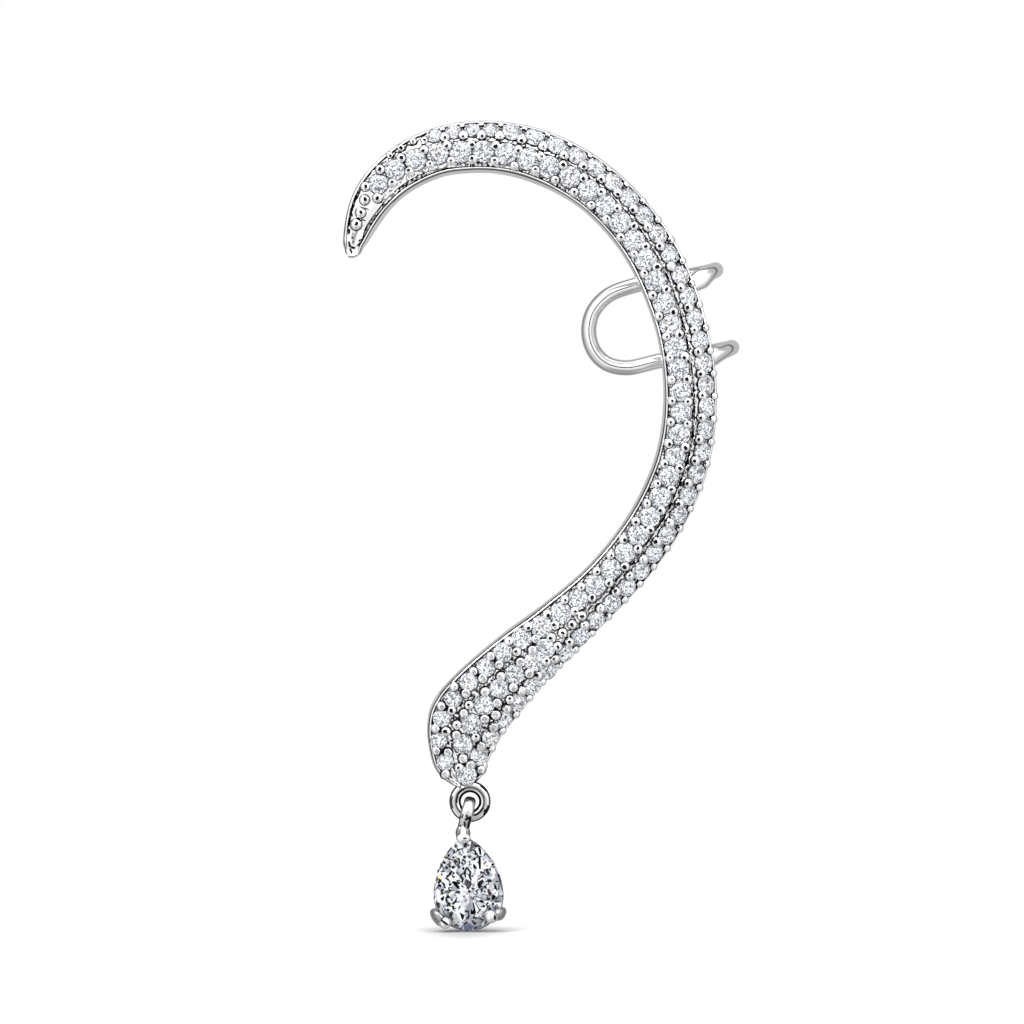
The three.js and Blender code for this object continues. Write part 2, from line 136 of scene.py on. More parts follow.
# s, the front's inner and outer edge, the inner wall's slant and the outer rail's width
EDGES = [
    (-0.35, 0.6, 0.54, 0.08, 0.18), (0.0, 0.69, 0.6, 0.11, 0.22), (0.5, 0.8, 0.68, 0.18, 0.26),
    (1.0, 1.0, 0.78, 0.24, 0.28), (2.0, 1.24, 0.98, 0.3, 0.27), (3.0, 1.39, 1.2, 0.33, 0.22),
    (4.0, 1.46, 1.38, 0.29, 0.21), (5.0, 1.52, 1.48, 0.25, 0.21), (6.5, 1.6, 1.57, 0.24, 0.2),
    (8.0, 1.68, 1.68, 0.24, 0.19), (10.0, 1.76, 1.72, 0.23, 0.18), (12.0, 1.92, 1.72, 0.22, 0.17),
    (14.0, 1.98, 1.73, 0.23, 0.17), (16.0, 1.99, 1.78, 0.26, 0.17), (18.0, 1.93, 1.88, 0.25, 0.18),
    (20.0, 1.84, 1.92, 0.17, 0.19), (22.0, 1.79, 1.9, 0.13, 0.2), (24.0, 1.82, 1.85, 0.13, 0.2),
    (26.0, 1.87, 1.8, 0.13, 0.18), (28.0, 1.92, 1.76, 0.12, 0.17), (30.0, 1.98, 1.74, 0.11, 0.17),
    (32.0, 1.99, 1.72, 0.11, 0.17), (34.0, 1.94, 1.74, 0.11, 0.18), (36.0, 1.91, 1.83, 0.12, 0.18),
    (38.0, 1.86, 1.95, 0.15, 0.18), (40.0, 1.8, 2.04, 0.2, 0.16), (42.0, 1.73, 2.15, 0.23, 0.16),
    (44.0, 1.68, 2.22, 0.25, 0.16), (46.0, 1.7, 2.2, 0.25, 0.13), (48.0, 1.74, 2.12, 0.24, 0.11),
    (50.0, 1.82, 2.0, 0.23, 0.1), (52.0, 1.9, 1.9, 0.22, 0.1), (54.0, 1.98, 1.8, 0.21, 0.1),
    (56.0, 2.08, 1.8, 0.22, 0.1), (58.0, 2.14, 1.97, 0.22, 0.1), (60.0, 2.1, 2.3, 0.27, 0.1),
    (62.0, 2.02, 2.68, 0.24, 0.1), (63.5, 2.12, 2.84, 0.21, 0.11), (65.0, 2.42, 2.86, 0.22, 0.12),
    (66.0, 2.7, 2.8, 0.24, 0.12), (67.0, 3.0, 2.6, 0.26, 0.13), (68.0, 3.12, 2.42, 0.25, 0.14),
    (69.0, 2.92, 2.25, 0.23, 0.15), (70.0, 2.56, 2.0, 0.22, 0.17), (71.0, 2.14, 1.76, 0.25, 0.2),
    (72.6, 1.3, 1.6, 0.3, 0.24),
]
# s, widths of the cuts beside the inner rail and beside the outer one
CUTS = [
    (0.3, 0.04, 0.04), (1.2, 0.13, 0.05), (2.0, 0.28, 0.15), (3.4, 0.26, 0.2), (4.1, 0.27, 0.17),
    (4.9, 0.31, 0.1), (8.0, 0.33, 0.07), (9.0, 0.27, 0.08), (10.1, 0.14, 0.1), (11.3, 0.08, 0.125),
    (22.0, 0.08, 0.125), (30.0, 0.08, 0.11), (58.0, 0.08, 0.1), (72.0, 0.08, 0.08),
]
# s, n and half width of the cut between the two rows
GROOVE = [
    (12.6, 0.12, 0.03), (15.0, 0.13, 0.045), (16.8, 0.15, 0.045), (18.4, 0.24, 0.045), (20.1, 0.32, 0.045),
    (21.8, 0.22, 0.05), (25.0, 0.16, 0.055), (27.0, 0.1, 0.045), (28.6, 0.06, 0.05), (30.4, 0.08, 0.05),
    (33.5, 0.03, 0.07), (35.5, 0.07, 0.06), (37.0, 0.14, 0.05), (38.5, 0.3, 0.055), (40.0, 0.42, 0.065),
    (41.6, 0.54, 0.085), (43.3, 0.6, 0.09), (45.3, 0.6, 0.09), (47.0, 0.59, 0.075), (48.2, 0.53, 0.08),
    (49.8, 0.42, 0.06), (51.6, 0.38, 0.06), (52.9, 0.22, 0.05), (54.5, 0.2, 0.045), (56.6, 0.25, 0.04),
]
WALL_SEEN = 0.84  # share of the inner wall's slant that shows from the front
WALL = [(0.25, 0.1), (0.5, 0.2), (0.75, 0.3), (0.88, 0.36), (0.94, 0.42)]  # height and lean of the inner wall
RAIL_IN = 0.14  # polished rail along the inner edge of the front
RAIL_OUT = 0.88  # share of the outer rail's room that it fills
RAIL_DROP = 0.07  # how far a rail's rounded edges fall below its crown
# Across a rail's rounded top: (share of its width, depth below its crown)
RAIL_TOP = [(0.0, RAIL_DROP), (0.12, 0.03), (0.3, 0.006), (0.5, 0.0), (0.7, 0.006), (0.88, 0.03),
            (1.0, RAIL_DROP)]
RAIL_SHADE = {"from": (20, 28), "middle": 0.4, "edge": (0.5, 0.6)}  # painted soft grey shade on the outer rail where no beads stand on it, and painted shade along its edge
BED_DEPTH = 0.15  # the stones' bed below the rails
BED_RIPPLE = 0.05  # unevenness of the bed between the stones
BED_COLUMNS = (24, 20)
CUT_DEPTH = 0.34  # the cut between a rail and the bed
CUT_RAGGED = (1.25, 0.7)  # times as wide, share by which the outer cut's width varies
CUT_SPAN = (0.25, 0.42)  # the outer cut closes this far from a gap between stones
GROOVE_DEPTH = 0.5
GROOVE_RAGGED = (0.85, 1.3, 0.05)  # times as wide, share by which the width varies, sideways wander
GROOVE_RUN = ((12.4, 13.2), (56.0, 56.8))  # where the groove deepens and where it ends
LIP = 0.055  # thin raised edge on each side of the groove
BAR_STEP = 0.075  # length of the bar's mesh cells
TIP_LEAN = 0.3  # slope of the front at the bar's very ends
PLATFORM = {"end": (3.6, 5.0), "lean": 0.15}  # the hook tip's polished platform without stones
SEAT = {"from": 4.2, "gap": 0.072, "rim": 0.012}  # the seats cut for the stones
HOOK_LINE = {"dark": 0.5, "wide": (0.1, 0.17), "fades": (2.0, 3.5)}  # painted soft outline of shade round the hook's tip
# Painted dark strokes of shade on the hook: (half width, darkness, points (s, n))
PAINTED_STROKES = [
    (0.07, 1.0, [(-0.05, -0.06), (0.2, 0.08)]), (0.07, 1.0, [(0.35, -0.2), (0.42, 0.16), (0.68, 0.26)]),
    (0.06, 1.0, [(0.55, -0.38), (0.8, -0.52)]), (0.06, 1.0, [(0.95, -0.42), (1.1, -0.62)]),
    (0.08, 0.95, [(1.3, 0.42), (1.5, 0.46)]), (0.1, 0.42, [(0.7, -0.04), (1.6, -0.08)]),
    (0.06, 1.0, [(1.75, 0.6), (2.3, 0.68)]), (0.06, 1.0, [(2.45, 0.62), (2.7, 0.86), (3.1, 0.82)]),
    (0.05, 0.9, [(3.2, 0.9), (3.6, 1.0), (4.0, 0.98)]), (0.05, 1.0, [(5.9, 1.0), (6.3, 1.26), (6.8, 1.1)]),
    (0.06, 1.0, [(7.05, 1.0), (7.42, 1.32), (7.7, 1.12)]),
    (0.06, 1.0, [(7.95, 1.08), (8.28, 1.38), (8.6, 1.12)]),
    (0.05, 0.9, [(8.8, 1.1), (9.1, 1.34), (9.4, 1.3)]), (0.05, 0.5, [(1.7, -0.62), (3.2, -0.86)]),
    (0.05, 0.8, [(2.45, -0.1), (2.5, -0.35)]), (0.05, 0.8, [(3.3, 0.0), (3.34, -0.22)]),
    (0.22, 0.19, [(1.9, -0.42), (3.9, -0.6)]),
]
STROKES_END = 10
# Where the beads' lines run beside the rows: (s, n)
BEAD_LINES = {
    "inner": [
        (5.97, -0.45), (7.5, -0.5), (9.1, -0.77), (10.7, -1.0), (12.4, -1.15), (14.2, -1.27),
        (15.85, -1.38), (17.6, -1.2), (20.9, -1.26), (24.2, -1.28), (25.9, -1.38), (27.6, -1.32),
        (29.3, -1.42), (32.8, -1.57), (34.4, -1.42), (37.75, -1.4), (41.0, -1.25), (42.6, -1.1),
        (45.7, -0.97), (48.9, -1.15), (52.0, -1.3), (55.3, -1.38), (56.9, -1.5), (58.6, -1.47),
        (60.4, -1.5), (61.9, -1.42), (63.3, -1.46), (64.7, -1.68), (66.15, -2.25), (67.5, -2.48),
        (68.9, -2.37), (70.3, -1.98),
    ],
    "middle": [
        (5.97, 0.9), (7.5, 0.66), (9.15, 0.4), (10.8, 0.17), (12.45, -0.03), (14.2, -0.12), (17.55, -0.1),
        (19.2, 0.03), (20.95, 0.03), (24.2, -0.1), (25.95, -0.07), (27.65, -0.28), (31.0, -0.37),
        (34.4, -0.42), (36.1, -0.26), (39.35, -0.1), (42.6, 0.17), (45.7, 0.2), (48.95, 0.1), (52.1, 0.07),
        (53.7, -0.07), (55.3, -0.2), (56.85, -0.35), (58.6, -0.45), (61.95, -0.42), (63.45, -0.58),
        (64.95, -0.85), (66.25, -1.25), (67.6, -1.62), (68.9, -1.53), (70.15, -1.08),
    ],
    "outer": [
        (10.7, 0.9), (12.0, 0.78), (13.2, 0.72), (15.9, 0.75), (19.0, 0.8), (22.0, 0.82), (25.0, 0.8),
        (29.7, 0.72), (32.8, 0.82), (35.9, 0.85), (37.4, 0.93), (38.8, 1.02), (41.8, 1.15), (43.3, 1.25),
        (46.4, 1.22), (47.85, 1.2), (49.4, 1.05), (52.4, 0.85), (55.4, 0.87), (57.0, 0.97), (58.5, 1.25),
        (60.0, 1.62), (61.75, 1.95), (63.7, 1.98), (65.7, 1.93), (67.6, 1.68), (69.4, 1.24), (70.9, 0.69),
    ],
}
# Beads apart from the rows: (s, n, size)
LONE_BEADS = [
    (2.0, 0.13, 1.2), (2.87, 0.17, 1.15), (3.77, 0.37, 1.12), (4.42, -0.32, 1.1), (4.52, 0.86, 1.0),
    (7.0, 1.28, 0.68), (7.86, 1.3, 0.7), (8.72, 1.31, 0.66), (9.4, 1.05, 0.8), (56.68, 0.25, 1.02),
    (57.6, 0.28, 1.02), (58.5, 0.32, 1.02), (59.35, 0.13, 1.05), (59.33, 0.9, 1.0),
]
# Beads between the stones of the lobe: (s, n)
LOBE_BEADS = [
    (60.93, 0.13), (60.52, 1.35), (62.15, 0.33), (62.17, 1.35), (63.9, 0.1), (63.9, 1.27), (65.45, -0.13),
    (65.65, 1.02), (64.86, 1.63), (66.55, 1.36), (66.77, -0.65), (67.43, -0.75), (68.3, -0.92),
    (68.97, -0.75), (67.2, 0.78), (68.75, 0.62), (70.47, 0.03), (71.15, -0.2), (71.25, 1.35),
    (71.62, -1.15),
]
# Soft painted reflection lines along the cuff's loop: (how far outward across the wire, half width, darkness)
CUFF_LINES = [(0.78, 0.5, 0.25), (-0.6, 0.16, 0.3)]
LOOP_SEEN = (2.2, 4.0)  # -x over which the loop's lines fade in
BAR_EDGE = (1.25, 2.1)  # x where the cuff's upper and lower leg come out from under the bar
SOLDER = {"swell": 0.3, "reach": 0.75}
WIRE_SHOWN = 0.525  # radius of the wire as a share of its thickness

# How each line's beads lean outward, how far that moves their feet, the depth of the flat that faces
# the front, where the dimple holds a painted dark reflection, and the width of the painted dark ring of
# shade round the foot as a share of the radius
BEAD_KINDS = {
    "inner": (rad(-20), 0.07, 0.012, 0.08), "middle": (rad(6), 0.0, 0.019, 0.16),
    "outer": (rad(24), -0.1, 0.015, 0.14), "rim": (rad(34), -0.12, 0.006, 0.06),
    "lone": (rad(4), 0.0, 0.017, 0.14), "lobe": (rad(10), 0.0, 0.012, 0.15),
}
# Times the usual radius
ROW_SIZES = {"inner": 1.0, "middle": 1.0, "outer": 1.08, "lobe": 1.02}
# The rim's beads start small and inside the edge, and grow to their full size: from where to where
RIM_GROWS = {"from": (20, 28), "inside": (0.17, 0.1), "size": (0.58, 0.84)}
# Some of the lobe's beads get a broad flat painted grey as shade in place of the dark dimple: their share,
# and from where to where it rises
PAINTED_GREY_FLATS = {"share": 0.6, "from": (58, 62), "flat": 3.0, "ring": 0.24, "dark": 0.33}

# Each claw's mark is a painted dark reflection on its bead, with painted shade round the bead's outline
LOWER_CLAWS = [
    {"foot": rad(-33), "bead": rad(-45), "reach": 2.13, "tall": 0.85, "closer": 0.26, "size": 1.24,
     "mark": (0.25, -0.05, 0.09, 0.2, 0.0)},
    {"foot": rad(-150), "bead": rad(-136), "reach": 2.5, "tall": 1.5, "closer": 0.14, "size": 1.13,
     "mark": (-0.08, 0.02, 0.35, 0.085, rad(-40))},
]
CLAW_GREY = (0.36, 0.95)  # the claws' painted shade at the foot and beside the bead
# The top bead's mark is a painted dark reflection, with painted shade round its outline
TOP_BEAD = {"x": -0.08, "z": 4.17, "size": (1.05, 0.66, 0.76), "ahead": 0.26,
            "mark": (0.12, 0.0, 0.15, 0.055, 0.0)}
# The collar is painted an even grey as shade.
COLLAR = {"size": (1.08, 0.6, 1.26), "aside": (-0.01, 0.28, 0.34), "painted_grey": 0.5}
SEEDS = {"stones": 11, "beads": 5, "drop": 3}


# ---- Maths ------------------------------------------------------------------------------------


def clamp(value, low, high):
    return max(low, min(high, value))


def smooth(value, low, high):
    t = clamp((value - low) / (high - low), 0.0, 1.0)
    return t * t * (3 - 2 * t)


def lerp(a, b, t):
    return a + (b - a) * t


def unit(vector):
    return vector / np.linalg.norm(vector)


def wave(x, y, z):
    """Soft noise at a place."""
    return noise.noise(Vector((x, y, z)))


def stripe(value, middle, half):
    """How dark a fine line is at a value across it."""
    return 1 - smooth(abs(value - middle), half * 0.7, half * 1.3)


def near_line(x, z, points):
    """Distance from (x, z) to a line of points."""
    best = 9.0
    for (ax, az), (bx, bz) in zip(points, points[1:]):
        ux, uz = bx - ax, bz - az
        share = clamp(((x - ax) * ux + (z - az) * uz) / (ux * ux + uz * uz), 0, 1)
        best = min(best, math.hypot(x - ax - ux * share, z - az - uz * share))
    return best


def between(table, column, s):
    """A smooth value between the rows of a table, by their distance s in column 0."""
    last = len(table) - 1
    i = 0
    while i < last - 1 and s > table[i + 1][0]:
        i += 1

    def slope(k):
        a, b = table[max(k - 1, 0)], table[min(k + 1, last)]
        return (b[column] - a[column]) / (b[0] - a[0])

    span = table[i + 1][0] - table[i][0]
    t = clamp((s - table[i][0]) / span, 0, 1)
    rise = table[i + 1][column] - table[i][column]
    start, end = slope(i) * span, slope(i + 1) * span
    return table[i][column] + t * (start + t * (3 * rise - 2 * start - end + t * (start + end - 2 * rise)))


@lru_cache(None)
def spine(s):
    """Where the middle line is at distance s, with the direction that it runs in."""
    x, z, heading = SPINE_START
    left = s
    for i, (radius, sweep) in enumerate(SPINE_ARCS):
        whole = abs(radius) * rad(sweep)
        step = left if i == len(SPINE_ARCS) - 1 else min(left, whole)
        turned = heading + step / radius
        x += radius * (sin(turned) - sin(heading))
        z -= radius * (cos(turned) - cos(heading))
        heading = turned
        left -= step
        if left <= 0:
            break
    return x, z, heading


def on_bar(s, n, y):
    x, z, heading = spine(s)
    return np.array([x - n * sin(heading), y, z + n * cos(heading)])


def rounding(s):
    hook = clamp(1 - (s - HOOK_END) / HOOK_ROUND, 0, 0.97)
    lobe = clamp(1 - (LOBE_END - s) / LOBE_ROUND, 0, 0.97)
    return math.sqrt(1 - hook**2) * math.sqrt(1 - lobe**2)


@lru_cache(None)
def bar_sizes(s):
    """Inner and outer half widths, ridge offset and thickness at distance s."""
    ends = rounding(s)
    full = smooth(min(s, LOBE_END - s), 0, TIP_FADE)
    inner, outer, ridge = (between(BAR_STATIONS, k, s) * ends for k in (1, 2, 3))
    return inner, outer, ridge, lerp(TIP_THICK, BAR_THICK, full)


def front_depth(s, n):
    _, _, ridge, thick = bar_sizes(s)
    return BACK_Y - thick + max(n - ridge, 0) * tan(FACET_TILT)


def facet_normal(heading, tilt):
    """The direction that the front faces where it leans outward by tilt."""
    outward = np.array([-sin(heading), 0, cos(heading)])
    return np.array([0, -cos(tilt), 0]) + outward * sin(tilt)


def leaning(s, tilt, onward):
    """A unit vector out of the front at s, leaning outward by tilt and onward along the bar."""
    heading = spine(s)[2]
    return unit(facet_normal(heading, tilt) + np.array([cos(heading), 0, sin(heading)]) * onward)


def basis(normal, spin):
    """Two unit vectors across normal, turned by spin."""
    u = unit(np.cross(normal, np.array([1.0, 0, 0]) if abs(normal[0]) < 0.8 else np.array([0, 0, 1.0])))
    v = np.cross(normal, u)
    return u * cos(spin) + v * sin(spin), v * cos(spin) - u * sin(spin)


def lean(point, angle):
    """Turns a point about the Y axis."""
    x, y, z = point
    return np.array([x * cos(angle) + z * sin(angle), y, z * cos(angle) - x * sin(angle)])


def circle(radius, height, count, shift=0.0):
    """Points round +Z; shift turns them by a share of their spacing."""
    angles = [2 * pi / count * (k + shift) for k in range(count)]
    return [(radius * cos(angle), radius * sin(angle), height) for angle in angles]


# ---- Meshes -----------------------------------------------------------------------------------


def put(name, data):
    thing = bpy.data.objects.new(name, data)
    bpy.context.scene.collection.objects.link(thing)
    return thing


def make(name, shape, material, body, slot, node, sharp):
    """A piece that rides on a body and stands for a CAD node; a piece without a sharp angle is facetted."""
    data = bpy.data.meshes.new(name)
    data.from_pydata([tuple(p) for p in np.asarray(shape.points, float) * MM], [], shape.faces)
    data.validate()
    data.polygons.foreach_set("use_smooth", [sharp is not None] * len(data.polygons))
    if sharp is None:
        # painted reflection colour of each facet of a stone
        layer = data.color_attributes.new("painted_reflection", "FLOAT_COLOR", "CORNER")
        tints = [c for face in data.polygons for c in shape.painted_reflection[face.index] * face.loop_total]
        layer.data.foreach_set("color", tints)
    else:
        data.set_sharp_from_angle(angle=rad(sharp))
        # painted shade of the metal at each point: dark cuts, seats, outlines and painted reflections
        layer = data.attributes.new("recess", "FLOAT", "POINT")
        layer.data.foreach_set("value", np.asarray(shape.recess, np.float32))
    data.materials.append(material)
    data.update()
    piece = put(name, data)
    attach(piece, body)
    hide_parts(node)


class Shape:
    """Points and faces with the metal's painted shade at each point, or the painted reflection colour of each
    face.
    """

    def __init__(self):
        self.points, self.faces, self.recess, self.painted_reflection = [], [], [], []

    def add(self, points, faces, recess=None, painted_reflection=()):
        start = len(self.points)
        self.points.extend(points)
        self.faces.extend(tuple(start + i for i in face) for face in faces)
        self.recess.extend(recess or [0.0] * len(points))
        self.painted_reflection.extend(painted_reflection)
        return self


def grid_faces(rows, columns, looped=False):
    """Faces between closed rows of points; looped joins the last row to the first."""
    faces = []
    for i in range(rows if looped else rows - 1):
        a, b = i * columns, (i + 1) % rows * columns
        faces += [(a + j, b + j, b + (j + 1) % columns, a + (j + 1) % columns) for j in range(columns)]
    return faces


def capped_faces(rows, columns):
    """Faces between closed rows of points, and one over each end."""
    last = (rows - 1) * columns
    return grid_faces(rows, columns) + [tuple(range(columns)), tuple(reversed(range(last, last + columns)))]


def flipped(faces):
    return [tuple(reversed(face)) for face in faces]


def tube(path, radii, sides, side=(0.0, 1.0, 0.0)):
    """A tube along a path. radii: one (a, b) pair per point, along side and across it."""
    path = np.asarray(path, float)
    last = len(path) - 1
    tangents = [unit(path[min(i + 1, last)] - path[max(i - 1, 0)]) for i in range(last + 1)]
    u = np.asarray(side, float)
    if abs(u @ tangents[0]) > 0.95:
        u = np.array([1.0, 0.0, 0.0])
    points = []
    for middle, tangent, (a, b) in zip(path, tangents, radii):
        u = unit(u - tangent * (u @ tangent))
        v = np.cross(tangent, u)
        points += [middle + u * x + v * y for x, y in ((cos(t) * a, sin(t) * b) for t in turns(sides))]
    return points, flipped(capped_faces(len(path), sides))


def turns(count):
    return [2 * pi * k / count for k in range(count)]


def round_ended(path, radius, cap=5):
    """A path with the points of two half-sphere caps, and the tube's radii along it."""
    before, after = unit(path[0] - path[1]), unit(path[-1] - path[-2])
    angles = [pi / 2 * k / cap for k in range(1, cap + 1)]
    head = [path[0] + before * radius * sin(a) for a in reversed(angles)]
    tail = [path[-1] + after * radius * sin(a) for a in angles]
    closing = [max(radius * cos(a), radius * 0.06) for a in angles]
    return head + list(path) + tail, [(r, r) for r in closing[::-1] + [radius] * len(path) + closing]


def catmull(points, closed, steps):
    """Points along a centripetal Catmull-Rom curve, evenly spaced."""
    points = [np.asarray(p, float) for p in points]
    if closed:
        points = [points[-1]] + points + points[:2]
    else:
        points = [2 * points[0] - points[1]] + points + [2 * points[-1] - points[-2]]
    dense = []
    for p0, p1, p2, p3 in zip(points, points[1:], points[2:], points[3:]):
        d0, d1, d2 = (max(np.linalg.norm(b - a), 1e-6) ** 0.5 for a, b in ((p0, p1), (p1, p2), (p2, p3)))
        t1 = ((p1 - p0) / d0 - (p2 - p0) / (d0 + d1) + (p2 - p1) / d1) * d1
        t2 = ((p2 - p1) / d1 - (p3 - p1) / (d1 + d2) + (p3 - p2) / d2) * d1
        square, cube = 3 * (p2 - p1) - 2 * t1 - t2, 2 * (p1 - p2) + t1 + t2
        dense += [p1 + t1 * t + square * t**2 + cube * t**3 for t in (k / 24 for k in range(24))]
    dense = np.array(dense + [points[-2]])
    lengths = np.concatenate([[0], np.cumsum(np.linalg.norm(np.diff(dense, axis=0), axis=1))])
    wanted = np.linspace(0, lengths[-1], steps + 1)
    even = np.stack([np.interp(wanted, lengths, dense[:, k]) for k in range(3)], axis=1)
    return list(even[:-1] if closed else even)


# ---- Places of the stones -----------------------------------------------------------------------


def stone_at(s, n, room, largest=STONE["girdle"]):
    """A stone's place: (s, n, point on the front, diameter)."""
    return s, n, on_bar(s, n, front_depth(s, n)), clamp(room - STONE["spare"], STONE["least"], largest)


def row_places(gaps, line, start, end, largest):
    """The stones between a row's gaps, and one beyond its first and last gap."""
    bounds = ([start] if start else []) + gaps + ([end] if end else [])
    middles = [((a + b) / 2, b - a) for a, b in zip(bounds, bounds[1:])]
    return [stone_at(s, between(line, 1, s), room, largest) for s, room in middles]


def tilt_at(s, n):
    """How far a stone at (s, n) leans outward."""
    return STONE["tilt"] if n > bar_sizes(s)[2] + 0.05 else 0.0


STONES = row_places(INNER_GAPS, INNER_ROW, 4.5, 71.5, STONE["girdle"])
STONES += row_places(OUTER_GAPS, OUTER_ROW, 9.5, None, STONE["outer"])
STONES += [stone_at(s, n, LOBE_ROOM) for s, n in LOBE_STONES]


# ---- The bar ------------------------------------------------------------------------------------


@lru_cache(None)
def edges(s):
    """Inner and outer edge of the front, the inner wall's slant and the outer rail's width at s."""
    ends = rounding(s)
    inner, outer = between(EDGES, 1, s) * ends, between(EDGES, 2, s) * ends
    return inner, outer, min(between(EDGES, 3, s), inner * 0.45), min(between(EDGES, 4, s), outer * 0.5)


def rail(start, end, first=0.0, middle=0.0, last=0.0):
    """Columns across a rail's rounded top, and the painted shade on its first edge, its middle and its last
    edge.
    """
    tones = (first, 0.0, 0.0, middle, last, last, last)
    return [(lerp(start, end, t), depth, tone) for (t, depth), tone in zip(RAIL_TOP, tones)]


def groove_at(s, start, end):
    """The cut between the rows: its middle, half width, the width of its lips and how deep it is, 0 to 1."""
    deep = smooth(s, *GROOVE_RUN[0]) * (1 - smooth(s, *GROOVE_RUN[1]))
    wide = end - start
    if wide <= 1.0:
        return (start + end) / 2, wide * 0.06, wide * 0.05, deep
    scale, varies, wander = GROOVE_RAGGED
    ragged = wave(s * 2.1, 0.0, 3.0) + 0.6 * wave(s * 6.0, 0.0, 8.0)
    near = min(abs(s - gap + 0.05) for gap in INNER_GAPS)
    ragged = max(1 + varies * ragged, 0.25) * lerp(0.3, 1.0, smooth(near + 0.06 * ragged, 0.2, 0.38))
    middle = clamp(between(GROOVE, 1, s), start + 0.4, end - 0.4) + wander * wave(s * 3.0, 5.0, 0.0)
    return middle, between(GROOVE, 2, s) * scale * ragged, LIP, deep


def front_columns(s):
    """The front from the inner edge to the outer: (offset n, depth below the rails, painted shade, on the
    bed).
    """
    inner, outer, slant, rail_out = edges(s)
    a, b = -inner + slant * WALL_SEEN, outer
    small = min(1.0, (b - a) / 1.4)
    tip = 1 - smooth(s, *PLATFORM["end"])
    ends = smooth(s, HOOK_END + 0.3, 0.75) * smooth(LOBE_END - s, 0.25, 0.7)
    cut_in, cut_out = (between(CUTS, k, s) * lerp(0.2, 1.0, ends) * small for k in (1, 2))
    open_to = lerp(0.12, 1.0, smooth(min(abs(s - gap) for gap in OUTER_GAPS), *CUT_SPAN))
    cut_out *= lerp(1.0, CUT_RAGGED[0] * open_to, smooth(s, 9, 10))
    cut_out *= 1 + CUT_RAGGED[1] * wave(s * 2.6, 9.0, 4.0)
    q0, q1 = a + RAIL_IN * small, b - rail_out * RAIL_OUT  # where the rails end
    p0, p1 = q0 + cut_in, q1 - cut_out  # where the bed starts and ends
    bed = lerp(BED_DEPTH, 0.0, tip) * ends
    cut = lerp(0.03, CUT_DEPTH, ends)

    def top(n):
        """Depth of the hook tip's platform, which leans outward a little."""
        return bed + tip * (0.015 * ends + PLATFORM["lean"] * (n - p0))

    floor = smooth(cut_in, 0.12, 0.2)  # a wide cut has a bright floor, with spots of painted shade, between two painted dark lines of shade
    line = min(0.06, cut_in * 0.28)

    def spots(row):
        return ends * max(1 - floor, smooth(wave(s * 3.5, row, 2.0), -0.02, 0.12))

    inner_cut = [
        (q0 + 0.003, 0.09, ends),
        (q0 + line * 0.3, lerp(cut, 0.16, floor), ends),
        (q0 + line, lerp(cut, 0.12, floor), ends),
        (q0 + line * 1.3, lerp(cut, 0.05, floor), spots(0.0)),
        (lerp(q0, p0, 0.5), lerp(cut, 0.03, floor), spots(6.8)),
        (p0 - line * 1.3, lerp(cut, 0.05, floor), spots(13.6)),
        (p0 - line, lerp(cut, 0.12, floor), ends),
        (p0 - line * 0.3, lerp(cut, 0.16, floor), ends),
        (p0 - 0.003, lerp(lerp(cut, 0.1, floor), top(p0), 0.8), ends),
    ]
    g, half, lip, groove = groove_at(s, p0, p1)
    lip0, lip1 = g - half - lip, g + half + lip
    places = [lip0, lip0 + lip * 0.35, g - half - 0.006, g - half, g - half + 0.006, g,
              g + half - 0.006, g + half, g + half + 0.006, lip1 - lip * 0.35, lip1]
    deepest = lerp(bed, GROOVE_DEPTH, groove)
    # across the groove: depth, and painted shade on its walls and floor
    wall = [(0.05, 0.0), (lerp(bed, 0.015, groove), 0.0), (0.035, 0.0)]
    wall += [(0.07, groove), (deepest * 0.6, groove)]
    levels = wall + [(deepest, groove)] + wall[::-1]

    def flat(start, end, count):
        return [(n, top(n), 0.0) for n in (lerp(start, end, k / (count - 1)) for k in range(count))]

    on_bed = flat(p0, lip0 - 0.012, BED_COLUMNS[0])
    on_bed += [(n, lerp(top(g), depth, groove), dark) for n, (depth, dark) in zip(places, levels)]
    on_bed += flat(lip1 + 0.012, p1, BED_COLUMNS[1])
    chain = smooth(wave(s * 4.5, 21.0, 6.0), -0.15, 0.1)  # bright links along the hook's outer cut, where its painted shade is left out
    chain *= smooth(s, 0.8, 1.2) * (1 - smooth(s, 5.0, 6.0))
    outer_cut = [
        (p1 + 0.003, lerp(cut, top(p1), 0.8), ends),
        (p1 + 0.012 * small, lerp(cut, 0.14, chain), ends),
        (lerp(p1, q1, 0.5), lerp(cut, 0.03, chain), ends * (1 - chain)),
        (q1 - 0.012 * small, lerp(cut, 0.14, chain), ends),
        (q1 - 0.003, 0.09, ends),
    ]
    shaded = 1 - smooth(s, *RAIL_SHADE["from"])
    outer_rail = rail(q1, b, 0.0, RAIL_SHADE["middle"] * shaded, lerp(*RAIL_SHADE["edge"], shaded))
    parts = ((rail(a, q0, 0.8) + inner_cut, False), (on_bed, True), (outer_cut + outer_rail, False))
    slope = (1 - ends) * TIP_LEAN
    return [(n, depth + slope * (n - a), dark, bedded) for part, bedded in parts for n, depth, dark in part]


def painted_stroke_at(s, n):
    """How dark the painted strokes of shade make the hook's metal at (s, n)."""
    if s > STROKES_END:
        return 0.0
    return max(level * stripe(near_line(s, n, points), 0, half) for half, level, points in PAINTED_STROKES)


def hook_outline(s, n):
    """The painted shade along the edge of the hook's tip."""
    if s > HOOK_LINE["fades"][1]:
        return 0.0
    inner, outer, _, _ = edges(s)
    rim = min(s - HOOK_END, outer - n, n + inner)
    return HOOK_LINE["dark"] * (1 - smooth(rim, *HOOK_LINE["wide"])) * (1 - smooth(s, *HOOK_LINE["fades"]))


